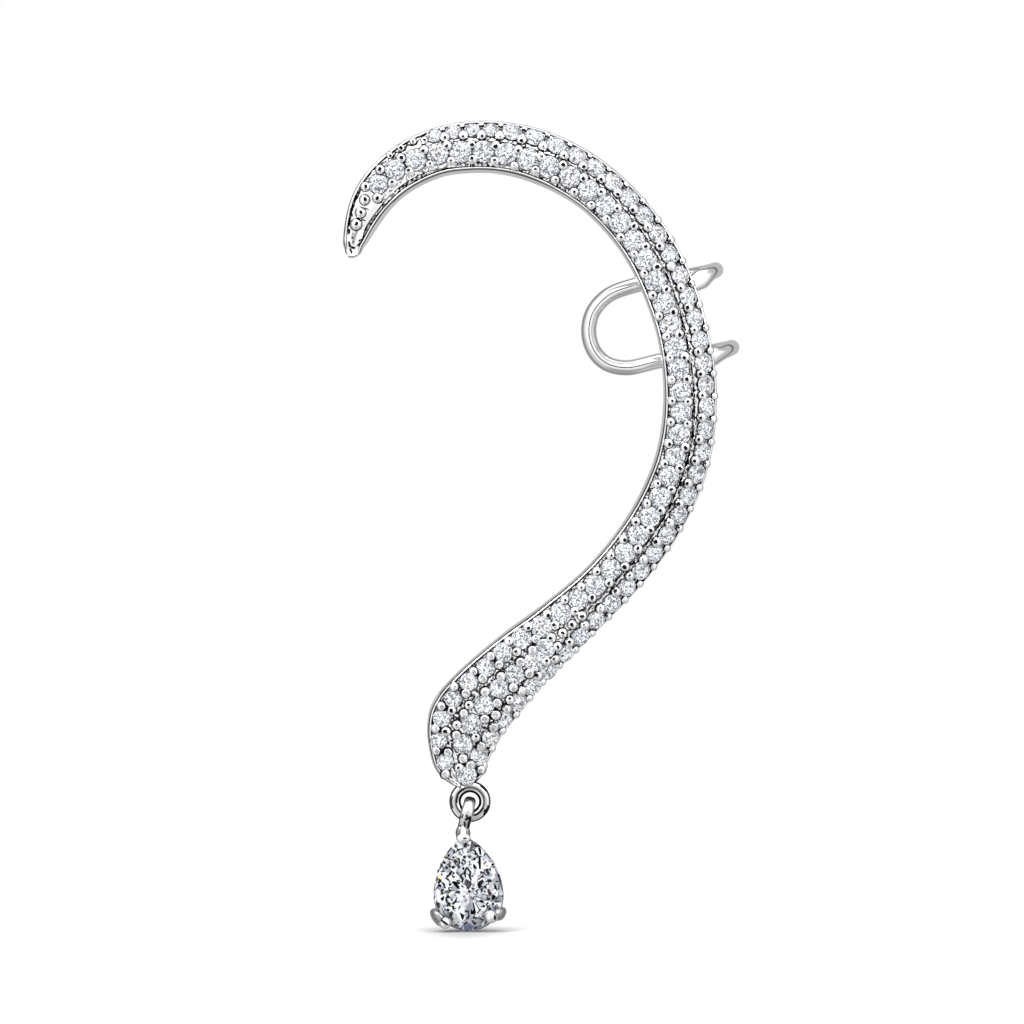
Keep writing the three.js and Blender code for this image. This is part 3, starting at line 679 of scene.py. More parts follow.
def back_columns(s):
    """The rest of the section, from the outer wall round the back to the inner wall: (n, y)."""
    inner, outer, slant, _ = edges(s)
    under = outer - min(OUTER_DRAFT, outer * 0.2)
    top = front_depth(s, outer) + RAIL_DROP
    soft = 0.1 * min(1.0, inner)
    edge = BACK_Y - soft
    points = [(lerp(outer, under, t), lerp(top, edge, t)) for t in (0.15, 0.5, 1.0)]
    points += [(under - soft * 0.3, BACK_Y - soft * 0.3), (under - soft, BACK_Y)]
    points += [(lerp(under - soft, -inner + soft, t), BACK_Y) for t in (0.25, 0.5, 0.75)]
    points += [(-inner + soft, BACK_Y), (-inner + soft * 0.3, BACK_Y - soft * 0.3), (-inner, edge)]
    front = BACK_Y - bar_sizes(s)[3] + RAIL_DROP
    return points + [(-inner + slant * WALL_SEEN * share, lerp(edge, front, t)) for t, share in WALL]


def bar_distances():
    ends = [0, 0.02, 0.06, 0.12, 0.2, 0.3, 0.42, 0.56, 0.72, 0.87, 1]
    first, last = HOOK_END + HOOK_ROUND, LOBE_END - LOBE_ROUND
    steps = int((last - first) / BAR_STEP)
    run = [HOOK_END + part * HOOK_ROUND for part in ends]
    run += [lerp(first, last, i / steps) for i in range(1, steps)]
    return run + [LOBE_END - part * LOBE_ROUND for part in reversed(ends)]


CENTRES = np.array([place[2] for place in STONES])
AXES = np.array([facet_normal(spine(s)[2], tilt_at(s, n)) for s, n, _, _ in STONES])
RADII = np.array([place[3] for place in STONES]) / 2


SEAT_EDGE = 0.95  # painted shade round a stone's girdle
PAINTED_BED_SPOTS = {"scale": 6.5, "from": (0.12, 0.3), "dark": 0.9, "starts": (9, 12)}  # painted spots of shade on the bed
RIPPLES = [(4.5, 0.7), (9.0, 0.3)]  # scale and share of the bed's waves


def seated(at, normal, dark, s):
    """A point of the bed moved down into the nearest stone's seat and painted with shade, or rippled and
    given painted spots of shade beside it.
    """
    away = at - CENTRES
    high = np.einsum("ij,ij->i", away, AXES)
    beyond = np.linalg.norm(away - AXES * high[:, None], axis=1) - RADII
    k = int(np.argmin(beyond))
    inside = -beyond[k]
    if inside > -SEAT["rim"]:
        wanted = min(inside + SEAT["gap"], STONE["pavilion"] + 0.1)
        at = at - AXES[k] * max(wanted + high[k], 0.0)
        return at, max(dark, lerp(SEAT_EDGE, 0.3, smooth(inside, 0.02, 0.11)))
    dark = max(dark, SEAT_EDGE * (1 - smooth(-inside, 0.02, 0.06)))
    spots = smooth(wave(*(at * PAINTED_BED_SPOTS["scale"])), *PAINTED_BED_SPOTS["from"])
    dark = max(dark, PAINTED_BED_SPOTS["dark"] * spots * smooth(s, *PAINTED_BED_SPOTS["starts"]))
    ripple = sum(wave(*(at * scale)) * share for scale, share in RIPPLES)
    return at - normal * ripple * BED_RIPPLE, dark


def bar():
    """The bar's closed skin, section by section, with a seat under every stone."""
    points, recess = [], []
    distances = bar_distances()
    for s in distances:
        heading, ridge = spine(s)[2], bar_sizes(s)[2]
        for n, depth, dark, on_bed in front_columns(s):
            normal = facet_normal(heading, FACET_TILT * smooth(n, ridge - 0.2, ridge + 0.2))
            at = on_bar(s, n, front_depth(s, n)) - normal * depth
            if on_bed and s > SEAT["from"]:
                at, dark = seated(at, normal, dark, s)
            points.append(at)
            # painted shade: the front's dark cuts and seats, the hook's strokes and its outline
            recess.append(max(dark, painted_stroke_at(s, n), hook_outline(s, n)))
        back = [on_bar(s, n, y) for n, y in back_columns(s)]
        points += back
        recess += [0.0] * len(back)
    return Shape().add(points, capped_faces(len(distances), len(points) // len(distances)), recess)


# ---- Small stones -------------------------------------------------------------------------------

CLEAR_TINT = (0.9, 0.925, 0.96)
# Painted fire: share of the facets up to which a tint is used, and the tint: mostly clear, some cool, a few
# warm
TINTS = [(0.55, (0.985, 0.99, 1.0)), (0.9, (0.86, 0.89, 1.0)), (1.0, (1.0, 0.93, 0.84))]


def facet_tint(rng, strength, level=1.0):
    """A pale painted tint of fire for one facet, at a painted brightness."""
    kind = rng.random()
    painted_reflection = next(colour for share, colour in TINTS if kind < share)
    return tuple(level * base * lerp(1.0, c, strength) for base, c in zip(CLEAR_TINT, painted_reflection)) + (1.0,)


def brilliant(radius, table):
    """A round brilliant about +Z, its girdle's upper edge at 0: points and flat faces."""
    crown, edge, pavilion = STONE["crown"], STONE["edge"], STONE["pavilion"]
    table_r, low = radius * table, radius * STONE["low"]
    star = lerp(table_r * cos(pi / 8), radius, STONE["star"])
    star_z = crown * (radius - star * cos(pi / 8)) / (radius - table_r)
    low_z = -edge - pavilion * (1 - low * cos(pi / 8) / radius)
    points = circle(table_r, crown, 8) + circle(star, star_z, 8, 0.5) + circle(radius, 0.0, 16)
    points += circle(radius, -edge, 16) + circle(low, low_z, 8, 0.5) + [(0, 0, -edge - pavilion)]
    faces = [tuple(range(8))]
    for k in range(8):
        t, t1, m, m1 = k, (k + 1) % 8, 8 + k, 8 + (k - 1) % 8
        g, g1, g2 = (16 + (2 * k + i) % 16 for i in range(3))
        h, h1, h2 = g + 16, g1 + 16, g2 + 16
        p, p1 = 48 + k, 48 + (k - 1) % 8
        faces += [(t, m, t1), (t, m1, g), (t, g, m), (m, g, g1), (m, g1, g2)]
        faces += [(g, h, h1, g1), (g1, h1, h2, g2)]
        faces += [(56, p, h), (56, h, p1), (p, h1, h), (p, h2, h1)]
    return points, faces


# What differs by chance from stone to stone and from bead to bead: leans in radians, how far a stone stands
# out of its seat in mm, how aslant a bead's dimple is cut as a slope, the rest as shares of the usual
SPREAD = {"lean": (-0.05, 0.05), "table": (0.95, 1.05), "out": (-0.02, 0.01), "radius": (0.95, 1.04),
          "dome": (0.92, 1.08), "flat": (0.5, 1.4), "aslant": (-0.14, 0.14), "squash": (0.94, 1.04)}
# strength of the painted tints of fire on the small stones
STONE_TINT = 0.35


def pave():
    rng = random.Random(SEEDS["stones"])
    shape = Shape()
    for s, n, point, size in STONES:
        tilt = tilt_at(s, n) + rng.uniform(*SPREAD["lean"])
        normal = leaning(s, tilt, rng.uniform(*SPREAD["lean"]))
        u, v = basis(normal, rng.uniform(0, 2 * pi))
        local, faces = brilliant(size / 2, STONE["table"] * rng.uniform(*SPREAD["table"]))
        centre = point + normal * rng.uniform(*SPREAD["out"])
        points = [centre + u * x + v * y + normal * z for x, y, z in local]
        shape.add(points, faces, painted_reflection=[facet_tint(rng, STONE_TINT) for _ in faces])
    return shape


# ---- Beads --------------------------------------------------------------------------------------


DIMPLE_WAVE = 0.45  # how far its edge differs from a circle, as a share of how flat the bead is
LAST_BEADS = {"onward": 0.24, "from": (64, 69)}  # the lobe's last beads lean onward


def bead(foot, axis, radius, flat, ring, deep, rng):
    """A raised bead of metal: a dome with a dimple where it faces the front, painted dark as a reflection,
    and a painted ring of shade round its foot.
    """
    shoulder, sides, rings = BEAD["shoulder"], BEAD["sides"], BEAD["rings"]
    top = BEAD["top"] * radius / BEAD["radius"] * rng.uniform(*SPREAD["dome"])
    # share of the radius, height, painted shade
    outline = [(1 + ring, -BEAD["skirt"], 0.2), (1 + ring, -0.09, 0.3), (1 + ring, -0.03, 1.0),
               (1 + ring / 2, 0.01, 1.0), (1.01, 0.03, 0.9), (0.985, 0.07, 0.1)]
    for r in (0.975 * (1 - k / rings) ** 0.9 for k in range(rings)):
        outline.append((r, shoulder + (top - shoulder) * math.sqrt(max(1 - (r / 0.98) ** 2, 0)), 0.0))
    u, v = basis(axis, rng.uniform(0, pi))
    squash = rng.uniform(*SPREAD["squash"])
    facing = -axis[1]
    reach = math.sqrt((radius**2) * (1 - facing**2) + ((top - shoulder) * facing) ** 2)
    level = -foot[1] + shoulder * facing + reach - flat * rng.uniform(*SPREAD["flat"])
    aslant = np.array([rng.uniform(*SPREAD["aslant"]), 0.0, rng.uniform(*SPREAD["aslant"])])
    long_way = rng.uniform(0, pi)
    points, recess = [], []
    for r, h, dark in outline:
        for angle in turns(sides):
            across = (u * cos(angle) + v * sin(angle) * squash) * radius * r
            point = foot + across + axis * h
            oval = flat * DIMPLE_WAVE * cos(2 * (angle - long_way))
            face = -level + aslant @ (point - foot) + oval
            dimple = h > shoulder and point[1] < face - 0.001
            point[1] = max(point[1], face)
            points.append(point)
            recess.append(deep if dimple else dark)
    return points, flipped(capped_faces(len(outline), sides)), recess


def bead_places():
    """Places (s, n, size, line) of all beads."""
    places = [(s, n, size, "lone") for s, n, size in LONE_BEADS]
    places += [(s, n, ROW_SIZES["lobe"], "lobe") for s, n in LOBE_BEADS]
    for gaps, lines in ((INNER_GAPS, ("inner", "middle")), (OUTER_GAPS, ("outer",))):
        for s in gaps:
            places += [(s, between(BEAD_LINES[line], 1, s), ROW_SIZES[line], line) for line in lines]
            if "outer" in lines:
                grown = smooth(s, *RIM_GROWS["from"])
                n = edges(s)[1] - lerp(*RIM_GROWS["inside"], grown)
                places.append((s, n, lerp(*RIM_GROWS["size"], grown), "rim"))
    return places


def beads():
    rng = random.Random(SEEDS["beads"])
    shape = Shape()
    for s, n, size, line in bead_places():
        lean_out, shift, flat, ring = BEAD_KINDS[line]
        foot = on_bar(s, n + shift, front_depth(s, n + shift))
        tilt = lean_out + rng.uniform(*SPREAD["lean"])
        onward = LAST_BEADS["onward"] * smooth(s, *LAST_BEADS["from"])
        axis = leaning(s, tilt, onward + rng.uniform(*SPREAD["lean"]))
        # some of the lobe's beads get a broad flat with painted grey shade
        painted_grey_flat = line != "rim" and rng.random() < PAINTED_GREY_FLATS["share"] * smooth(s, *PAINTED_GREY_FLATS["from"])
        if painted_grey_flat:
            flat, ring = flat * PAINTED_GREY_FLATS["flat"], PAINTED_GREY_FLATS["ring"]
        radius = BEAD["radius"] * size * rng.uniform(*SPREAD["radius"])
        shape.add(*bead(foot, axis, radius, flat, ring, PAINTED_GREY_FLATS["dark"] if painted_grey_flat else 1.0, rng))
    return shape


# ---- The cuff -----------------------------------------------------------------------------------


def cuff_leg(solder, tip, rear):
    points = [(solder[0], -WIRE_Y, solder[1])]
    reach = tip[0] - WIRE_Y
    for i in range(CUFF_BEND_STEPS + 1):
        angle = pi * (i / CUFF_BEND_STEPS - 0.5)
        x = reach + WIRE_Y * cos(angle)
        end = solder if angle < 0 else rear
        z = lerp(tip[1], end[1], (x - tip[0]) / (end[0] - tip[0]))
        points.append((x, WIRE_Y * sin(angle), z))
    return points + [(rear[0], WIRE_Y, rear[1])]


def cuff():
    upper, lower = (cuff_leg(**leg) for leg in CUFF_LEGS)
    path = catmull(upper + [(x, WIRE_Y, z) for x, z in CUFF_LOOP] + lower[::-1], False, 300)
    last = len(path) - 1
    shown = CUFF_WIRE * WIRE_SHOWN
    radii = []
    for k, point in enumerate(path):
        past = point[0] - BAR_EDGE[0 if k < len(path) / 2 else 1]
        fillet = SOLDER["swell"] * (1 - smooth(abs(past), 0.0, SOLDER["reach"])) if point[1] < -1.5 else 0.0
        radius = shown * smooth(min(k, last - k), -1.5, 4)
        radii.append((radius, radius * (1 + fillet)))
    sides = 32
    points, faces = tube(path, radii, sides)
    # painted reflection lines along the loop's wire, faded in along it
    recess = []
    for k, point in enumerate(path):
        along = path[min(k + 1, last)] - path[max(k - 1, 0)]
        outward = np.array([along[2], 0, -along[0]]) / np.linalg.norm(along)
        seen = smooth(-point[0], *LOOP_SEEN)
        for corner in points[k * sides:(k + 1) * sides]:
            across = (corner - point) @ outward / shown
            darks = [dark * stripe(across, middle, half) for middle, half, dark in CUFF_LINES]
            recess.append(seen * max(darks))
    return Shape().add(points, faces, recess)


# ---- The ring and the bail -----------------------------------------------------------------------


def band_ring(radius, band, wide, power, marks, crest=0.0, steps=150, sides=60):
    """A ring about the Y axis, of a rounded-square section: band is its radial and wide its axial size.

    crest thickens the band outward at its top; marks gives the painted shade and painted reflections at
    (angle, r, h).
    """
    points, recess = [], []
    for a in turns(steps):
        for b in turns(sides):
            cb, sb = cos(b), sin(b)
            r = radius + math.copysign(abs(cb) ** power, cb) * band / 2
            r += crest * max(sin(a), 0) ** 2 * (cb + 1) / 2
            h = math.copysign(abs(sb) ** power, sb) * wide / 2
            points.append(np.array([r * cos(a), h, r * sin(a)]))
            recess.append(marks(a, r, h))
    return points, flipped(grid_faces(steps, sides, looped=True)), recess


# Painted reflections on the ring: dark lines along it: (r, half width, darkness); and dark patches: (from, to
# degrees, r, half width)
RING_LINES = [(0.67, 0.06, 1.0), (0.77, 0.045, 0.7), (1.0, 0.045, 0.78), (1.16, 0.03, 0.4),
              (1.43, 0.06, 0.65)]
RING_PATCHES = [(-48, -8, 1.36, 0.1), (-128, -98, 1.27, 0.1), (-75, -20, 1.02, 0.07), (110, 155, 1.02, 0.08),
                (160, 205, 1.3, 0.05), (-40, -22, 1.24, 0.06), (28, 60, 1.36, 0.06), (150, 190, 0.92, 0.04)]
# even painted grey shade over the whole ring
RING_GREY = 0.17
RING_CENTRE = np.array([RING["x"], RING_Y, RING["z"]])
# Painted dark reflection lines across the bail: (half width, points (across, height below the ring's middle))
BAIL_LINES = [
    (0.060, [(0.02, -0.98), (0.1, -1.12), (0.0, -1.3)]), (0.072, [(0.28, -1.02), (0.12, -1.2)]),
    (0.084, [(0.31, -1.15), (0.3, -1.5), (0.32, -1.85)]), (0.042, [(-0.26, -0.98), (-0.28, -1.2)]),
    (0.048, [(-0.41, -1.0), (-0.42, -1.9)]), (0.060, [(-0.02, -1.5), (0.1, -1.78)]),
    (0.060, [(-0.24, -1.8), (-0.2, -1.86)]), (0.054, [(-0.2, -2.02), (0.05, -2.1), (0.26, -2.03)]),
]
BAIL_ARCS = [(0.39, 0.035, 0.85), (0.22, 0.03, 0.8)]  # painted reflection lines round its top: (r, half width, darkness)
# even painted grey shade over the whole bail
BAIL_GREY = 0.25


# The ring's painted reflections, over its even painted grey shade
def ring_marks(angle, r, _):
    turn = (math.degrees(angle) + 180) % 360 - 180
    dark = max(level * stripe(r, middle, half) for middle, half, level in RING_LINES)
    for start, end, middle, half in RING_PATCHES:
        past = (turn - start) % 360
        along = smooth(min(past, (end - turn) % 360), 0, 7) if past <= end - start else 0
        dark = max(dark, along * stripe(r, middle, half))
    return max(dark, RING_GREY)


def hanging_ring():
    points, faces, recess = band_ring(RING["radius"], RING["wire"], RING["wire"], 0.9, ring_marks)
    return Shape().add([point + RING_CENTRE for point in points], faces, recess)


# The bail's painted reflections, over its even painted grey shade
def bail_marks(angle, r, h):
    z = r * sin(angle) - RING["radius"]
    away = math.hypot(h, z + 0.04)
    darks = [level * stripe(away, reach, half) for reach, half, level in BAIL_ARCS] if z > -0.05 else []
    darks += [stripe(near_line(h, z, points), 0, half) for half, points in BAIL_LINES]
    return max(darks + [BAIL_GREY])


def bail():
    """The bail hangs in the ring, across it."""
    points, faces, recess = band_ring(BAIL["radius"], BAIL["band"], BAIL["wide"], 0.8, bail_marks, 0.22)
    hung = [lean(np.array([y, x, z - RING["radius"]]), BAIL["lean"]) + RING_CENTRE for x, y, z in points]
    return Shape().add(hung, flipped(faces), recess)


# ---- The pear stone -------------------------------------------------------------------------------

# Facets of the pear: (directions in degrees, slope in degrees).
PEAR_CROWN = [
    ((-90, -45, 0, 30, 58, 122, 150, 180, 225), 35.0),
    ((-78, -57, -33, -12, 10, 22, 40, 52, 128, 140, 158, 170, 192, 213, 237, 258), 41.0),
    ((90,), 30.0),
]
PEAR_STARS = ((-67.5, -22.5, 16, 45, 90, 135, 164, 202.5, 247.5), 21.0)
PEAR_PAVILION = [
    ((-90, -45, 0, 27, 153, 180, 225), 40.5),
    ((55, 125), 39.5),
    ((-79, -68, -57, -34, -22, -11, 9, 18, 38, 47, 133, 142, 162, 171, 191, 202, 214, 237, 248, 259), 43.0),
    ((90,), 33.0),
]
GIRDLE_SIDES = 72

# Painted reflections and fire that show through the pear's front, by tone: (line width, points); width 0
# is a whole facet, a single point is a spot. (x, z) in the drop's own frame.
PEAR_TONES = {
    "black": (0.004, 0.004, 0.005), "dark": (0.025, 0.025, 0.028), "grey": (0.09, 0.085, 0.1),
    "mid": (0.26, 0.26, 0.28), "pale": (0.6, 0.59, 0.64), "lavender": (0.25, 0.26, 0.42),
    "lilac": (0.46, 0.43, 0.58), "blue": (0.2, 0.24, 0.42), "tan": (0.72, 0.6, 0.36),
    "cream": (0.86, 0.84, 0.62), "brown": (0.13, 0.09, 0.06), "olive": (0.17, 0.17, 0.1),
}
PEAR_FIRE = [
    ("grey", 0, [(0.48, 3.98), (0.86, 3.5), (0.3, 3.28)]),
    ("dark", 0, [(0.66, 3.62), (0.86, 3.48), (0.74, 3.36)]), ("dark", 0.06, [(0.33, 3.2), (0.76, 3.4)]),
    ("cream", 0, [(-0.6, 3.58), (-0.3, 3.52), (-0.25, 3.34), (-0.45, 3.38)]),
    ("black", 0, [(-0.64, 3.5), (-0.4, 3.36), (-0.5, 3.22), (-0.58, 3.28)]),
    ("olive", 0, [(-0.52, 3.24), (-0.34, 3.22), (-0.34, 3.08), (-0.5, 3.08)]),
    ("lavender", 0.08, [(-0.26, 3.36), (-0.14, 3.08)]), ("mid", 0.1, [(-0.52, 3.04), (-0.22, 2.98)]),
    ("black", 0.08, [(-1.28, 3.18), (-1.03, 3.48)]), ("dark", 0.07, [(-0.78, 3.86), (-0.6, 3.92)]),
    ("dark", 0.1, [(-1.22, 3.0)]), ("brown", 0.09, [(-1.27, 2.76), (-0.9, 2.66)]),
    ("mid", 0, [(-1.4, 2.32), (-1.18, 2.62), (-0.95, 2.5), (-1.28, 2.28)]), ("black", 0.1, [(-0.88, 2.84)]),
    ("lavender", 0.09, [(-0.8, 3.45), (-0.8, 3.12)]), ("black", 0.1, [(-0.5, 2.8), (-0.48, 2.36)]),
    ("dark", 0.08, [(-0.62, 2.54), (-0.6, 2.34)]),
    ("grey", 0, [(-0.74, 2.36), (-0.52, 2.36), (-0.4, 2.15), (-0.57, 1.96)]),
    ("dark", 0.07, [(-0.25, 2.72), (-0.2, 2.62), (-0.08, 2.54), (-0.05, 2.36)]),
    ("dark", 0.12, [(-0.1, 2.83)]), ("grey", 0.13, [(0.27, 2.82)]),
    ("dark", 0, [(0.14, 2.52), (0.34, 2.5), (0.24, 2.36)]), ("grey", 0.06, [(0.24, 2.36), (0.2, 2.2)]),
    ("black", 0.11, [(0.6, 2.64)]), ("olive", 0.1, [(0.75, 3.24), (0.66, 3.1)]),
    ("black", 0.1, [(0.7, 3.0)]), ("black", 0.09, [(0.5, 2.29), (0.58, 2.1), (0.7, 1.92)]),
    ("black", 0.1, [(-0.23, 2.02)]), ("black", 0.13, [(0.27, 2.0), (0.35, 2.01)]),
    ("black", 0.1, [(0.94, 3.4), (1.02, 3.25), (1.05, 2.88)]),
    ("black", 0.1, [(0.97, 2.74), (0.95, 2.3), (0.94, 1.88)]),
    ("dark", 0.09, [(0.02, 2.1), (-0.15, 1.76), (-0.12, 1.4)]),
    ("dark", 0.09, [(0.05, 2.06), (0.25, 1.72), (0.17, 1.46), (0.27, 1.14)]),
    ("dark", 0.1, [(-0.42, 1.5), (-0.33, 1.28), (-0.38, 1.02)]),
    ("grey", 0, [(-0.12, 1.3), (0.25, 1.06), (0.31, 0.85), (0.03, 0.47), (-0.26, 0.95)]),
    ("black", 0, [(-1.16, 1.12), (-0.95, 1.19), (-0.76, 1.1), (-0.55, 0.6), (-0.72, 0.58)]),
    ("dark", 0, [(0.64, 0.85), (0.86, 1.08), (1.1, 1.13), (1.13, 0.95), (0.8, 0.51)]),
    ("black", 0, [(0.64, 0.86), (0.82, 0.92), (0.86, 0.62), (0.79, 0.5)]),
    ("mid", 0, [(0.3, 0.9), (0.52, 0.97), (0.5, 0.64), (0.3, 0.62)]),
    ("black", 0.11, [(0.25, 0.56), (0.46, 0.52)]), ("black", 0.1, [(0.07, 0.37)]),
    ("black", 0.09, [(-1.02, 1.92), (-1.2, 1.7), (-1.42, 1.47)]),
    ("olive", 0.13, [(-1.48, 1.3), (-1.28, 1.33)]), ("dark", 0.11, [(-0.97, 2.15)]),
    ("dark", 0.11, [(-1.42, 2.14)]), ("dark", 0.1, [(-0.95, 1.74)]), ("brown", 0.1, [(-0.95, 1.48)]),
    ("tan", 0, [(-2.14, 1.62), (-1.95, 1.68), (-1.8, 1.35), (-1.95, 1.14), (-2.17, 1.2)]),
    ("black", 0.07, [(-2.17, 1.1), (-1.84, 1.22)]),
    ("black", 0, [(-2.17, 0.96), (-1.84, 0.99), (-1.93, 0.75), (-2.0, 0.58), (-2.12, 0.62)]),
    ("lavender", 0.1, [(-2.05, 0.76)]), ("dark", 0.12, [(-1.74, 1.06), (-1.62, 0.7)]),
    ("tan", 0.09, [(-1.45, 3.0), (-1.46, 2.7)]), ("dark", 0.11, [(-1.54, 2.5)]),
    ("dark", 0.09, [(-1.84, 2.33), (-1.74, 2.4)]), ("lilac", 0.1, [(-1.75, 1.66)]),
    ("lilac", 0.12, [(-1.7, 2.0), (-1.68, 1.82)]), ("lavender", 0.09, [(1.58, 2.42), (1.76, 2.26)]),
    ("black", 0.1, [(1.85, 2.12)]), ("dark", 0.09, [(1.91, 1.95)]),
    ("blue", 0.09, [(1.14, 2.56), (1.36, 2.5)]), ("dark", 0.08, [(1.28, 2.88), (1.33, 2.8)]),
    ("olive", 0.08, [(1.38, 2.1), (1.52, 2.04)]),
    ("cream", 0, [(1.15, 2.38), (1.36, 2.3), (1.32, 2.04), (1.08, 2.04)]),
    ("dark", 0.11, [(1.36, 1.86), (1.48, 1.62), (1.58, 1.4)]), ("blue", 0.11, [(1.4, 1.42), (1.64, 1.4)]),
    ("dark", 0.06, [(1.06, 1.7), (1.4, 1.42)]), ("black", 0.08, [(0.93, 1.4), (1.12, 1.3)]),
    ("dark", 0.11, [(1.02, 1.66)]), ("dark", 0.06, [(1.64, 1.92), (1.71, 1.7)]),
    ("dark", 0.1, [(1.3, 1.0), (1.72, 1.0)]), ("dark", 0.08, [(1.98, 0.92), (2.2, 0.9)]),
    ("pale", 0, [(1.85, 1.82), (2.0, 1.82), (2.16, 1.2), (1.94, 1.15)]),
    ("dark", 0.09, [(1.1, 0.62), (1.32, 0.6)]), ("black", 0.09, [(0.53, 0.42), (0.66, 0.18)]),
    ("grey", 0, [(0.88, 0.5), (1.06, 0.62), (1.04, 0.3), (0.88, 0.14)]),
    ("black", 0.07, [(0.6, 0.36), (0.76, 0.47)]), ("dark", 0.08, [(1.14, 0.36), (1.2, 0.2)]),
    ("brown", 0, [(1.35, 0.42), (1.46, 0.46), (1.64, 0.1), (1.52, -0.1), (1.4, 0.08)]),
    ("dark", 0, [(1.74, 0.06), (1.94, -0.14), (1.82, -0.32), (1.6, -0.42), (1.64, -0.1)]),
    ("black", 0.12, [(1.43, -0.18), (1.45, -0.32)]),
    ("dark", 0.07, [(1.88, 0.76), (1.94, 0.5), (2.06, 0.32)]), ("dark", 0.08, [(2.22, 0.62), (2.14, 0.3)]),
    ("grey", 0.07, [(2.26, 1.02), (2.31, 0.78)]), ("grey", 0.07, [(2.38, -0.05), (2.38, -0.25)]),
    ("olive", 0.08, [(-1.4, 0.76), (-1.1, 0.74)]), ("black", 0.09, [(-1.39, 0.74), (-1.3, 0.5)]),
    ("black", 0.12, [(-1.25, 0.96)]),
    ("black", 0, [(-2.02, 0.0), (-1.7, 0.2), (-1.78, -0.15), (-1.94, -0.2)]),
    ("dark", 0.08, [(-1.6, 0.0), (-1.6, -0.25)]), ("black", 0.08, [(-1.62, -0.28), (-1.35, -0.52)]),
    ("dark", 0.1, [(-1.85, 0.35)]), ("dark", 0.08, [(-0.96, 0.32), (-0.72, 0.38), (-0.55, 0.42)]),
    ("dark", 0.09, [(-0.66, 0.36), (-0.65, 0.2)]), ("black", 0.06, [(-0.4, 0.06), (-0.25, 0.04)]),
    ("dark", 0.05, [(-0.92, -0.25), (-0.75, -0.3)]), ("dark", 0.09, [(-1.2, -0.15)]),
    ("dark", 0.11, [(-1.1, -0.4)]), ("dark", 0.11, [(-1.15, -0.66)]),
    ("cream", 0.1, [(-1.5, -0.58), (-1.26, -0.7)]),
    ("lilac", 0, [(-2.45, 0.8), (-2.3, 0.82), (-2.24, 0.05), (-2.44, 0.05)]),
    ("grey", 0, [(-2.37, -0.2), (-2.15, -0.3), (-2.1, -0.6), (-2.25, -0.76), (-2.36, -0.5)]),
    ("mid", 0.14, [(-1.47, 0.55), (-1.5, 0.1)]), ("lavender", 0.08, [(-1.9, -0.45), (-1.72, -0.8)]),
    ("black", 0.12, [(-1.53, -0.86)]), ("mid", 0.07, [(-2.0, -0.6), (-1.86, -0.96)]),
    ("dark", 0.06, [(-1.86, -0.9), (-1.78, -1.15)]),
    ("black", 0.09, [(0.72, -0.35), (0.88, -0.38), (1.02, -0.52)]),
    ("black", 0.1, [(1.38, -0.5), (1.2, -0.66)]), ("dark", 0.11, [(1.03, -0.75)]),
    ("black", 0.11, [(1.45, -0.97)]), ("dark", 0.13, [(1.6, -0.64), (1.78, -0.66)]),
    ("blue", 0.11, [(1.62, -0.76), (1.76, -1.02)]),
    ("mid", 0, [(1.8, -0.75), (1.98, -0.66), (2.12, -1.0), (1.8, -1.12)]),
    ("pale", 0, [
        (-0.35, 0.42), (-0.14, 0.46), (0.02, 0.3), (0.2, 0.3), (0.45, 0.34), (0.72, -0.24), (0.32, -0.14),
        (0.24, -0.3), (0.1, -0.8), (-0.05, -0.9), (-0.2, -0.85), (-0.27, -0.3), (-0.6, -0.5), (-0.2, -0.08),
        (-0.05, 0.1)]),
    ("black", 0, [(-0.6, -0.55), (-0.62, -0.72), (-0.84, -0.96), (-0.76, -0.72)]),
    ("black", 0, [(-0.72, -1.04), (-0.38, -1.3), (-0.5, -1.62), (-0.6, -1.58)]),
    ("black", 0, [
        (-0.2, -0.88), (-0.04, -1.2), (0.0, -1.42), (-0.22, -1.57), (-0.28, -1.48), (-0.12, -1.36)]),
    ("black", 0, [
        (0.24, -0.38), (0.34, -0.45), (0.46, -1.18), (0.3, -1.3), (0.04, -1.24), (0.12, -0.84),
        (0.2, -1.02), (0.3, -0.92)]),
    ("black", 0, [(0.38, -0.42), (0.46, -0.46), (0.76, -0.98), (0.68, -1.0)]),
    ("dark", 0.08, [(0.25, -1.38), (0.22, -1.62)]),
    ("grey", 0, [(-1.28, -0.92), (-1.14, -1.08), (-1.36, -1.52), (-1.52, -1.28), (-1.46, -1.1)]),
    ("mid", 0.09, [(0.62, -1.42), (0.92, -1.82)]), ("pale", 0.09, [(0.86, -1.38), (1.12, -1.86)]),
    ("dark", 0.07, [(0.72, -1.9), (0.82, -1.88)]),
    ("lavender", 0, [(-0.5, -2.12), (-0.14, -1.86), (0.16, -2.1), (0.06, -2.46), (-0.52, -2.42)]),
    ("blue", 0.16, [(-0.2, -2.14), (0.0, -2.16)]),
    ("lilac", 0, [(0.2, -2.14), (0.62, -2.18), (0.48, -2.4), (0.12, -2.45)]),
    ("black", 0.1, [(-0.2, -1.8), (-0.5, -2.0)]), ("blue", 0.1, [(-0.5, -2.0), (-0.72, -2.3)]),
    ("dark", 0.09, [(0.08, -1.8), (0.4, -1.96)]),
    ("mid", 0, [(-1.2, -1.94), (-0.78, -1.98), (-0.84, -2.25), (-1.16, -2.14)]),
    ("dark", 0.08, [(0.84, -2.3), (1.04, -2.2)]),
    ("pale", 0, [(0.98, -1.88), (1.2, -1.94), (1.12, -2.14), (0.94, -2.1)]),
    ("mid", 0.06, [(-0.85, -1.72), (-0.92, -1.82)]), ("dark", 0.06, [(-1.2, -1.96), (-1.0, -1.98)]),
    ("dark", 0.045, [(-0.7, 3.98), (-1.05, 3.5), (-1.3, 3.12)]),
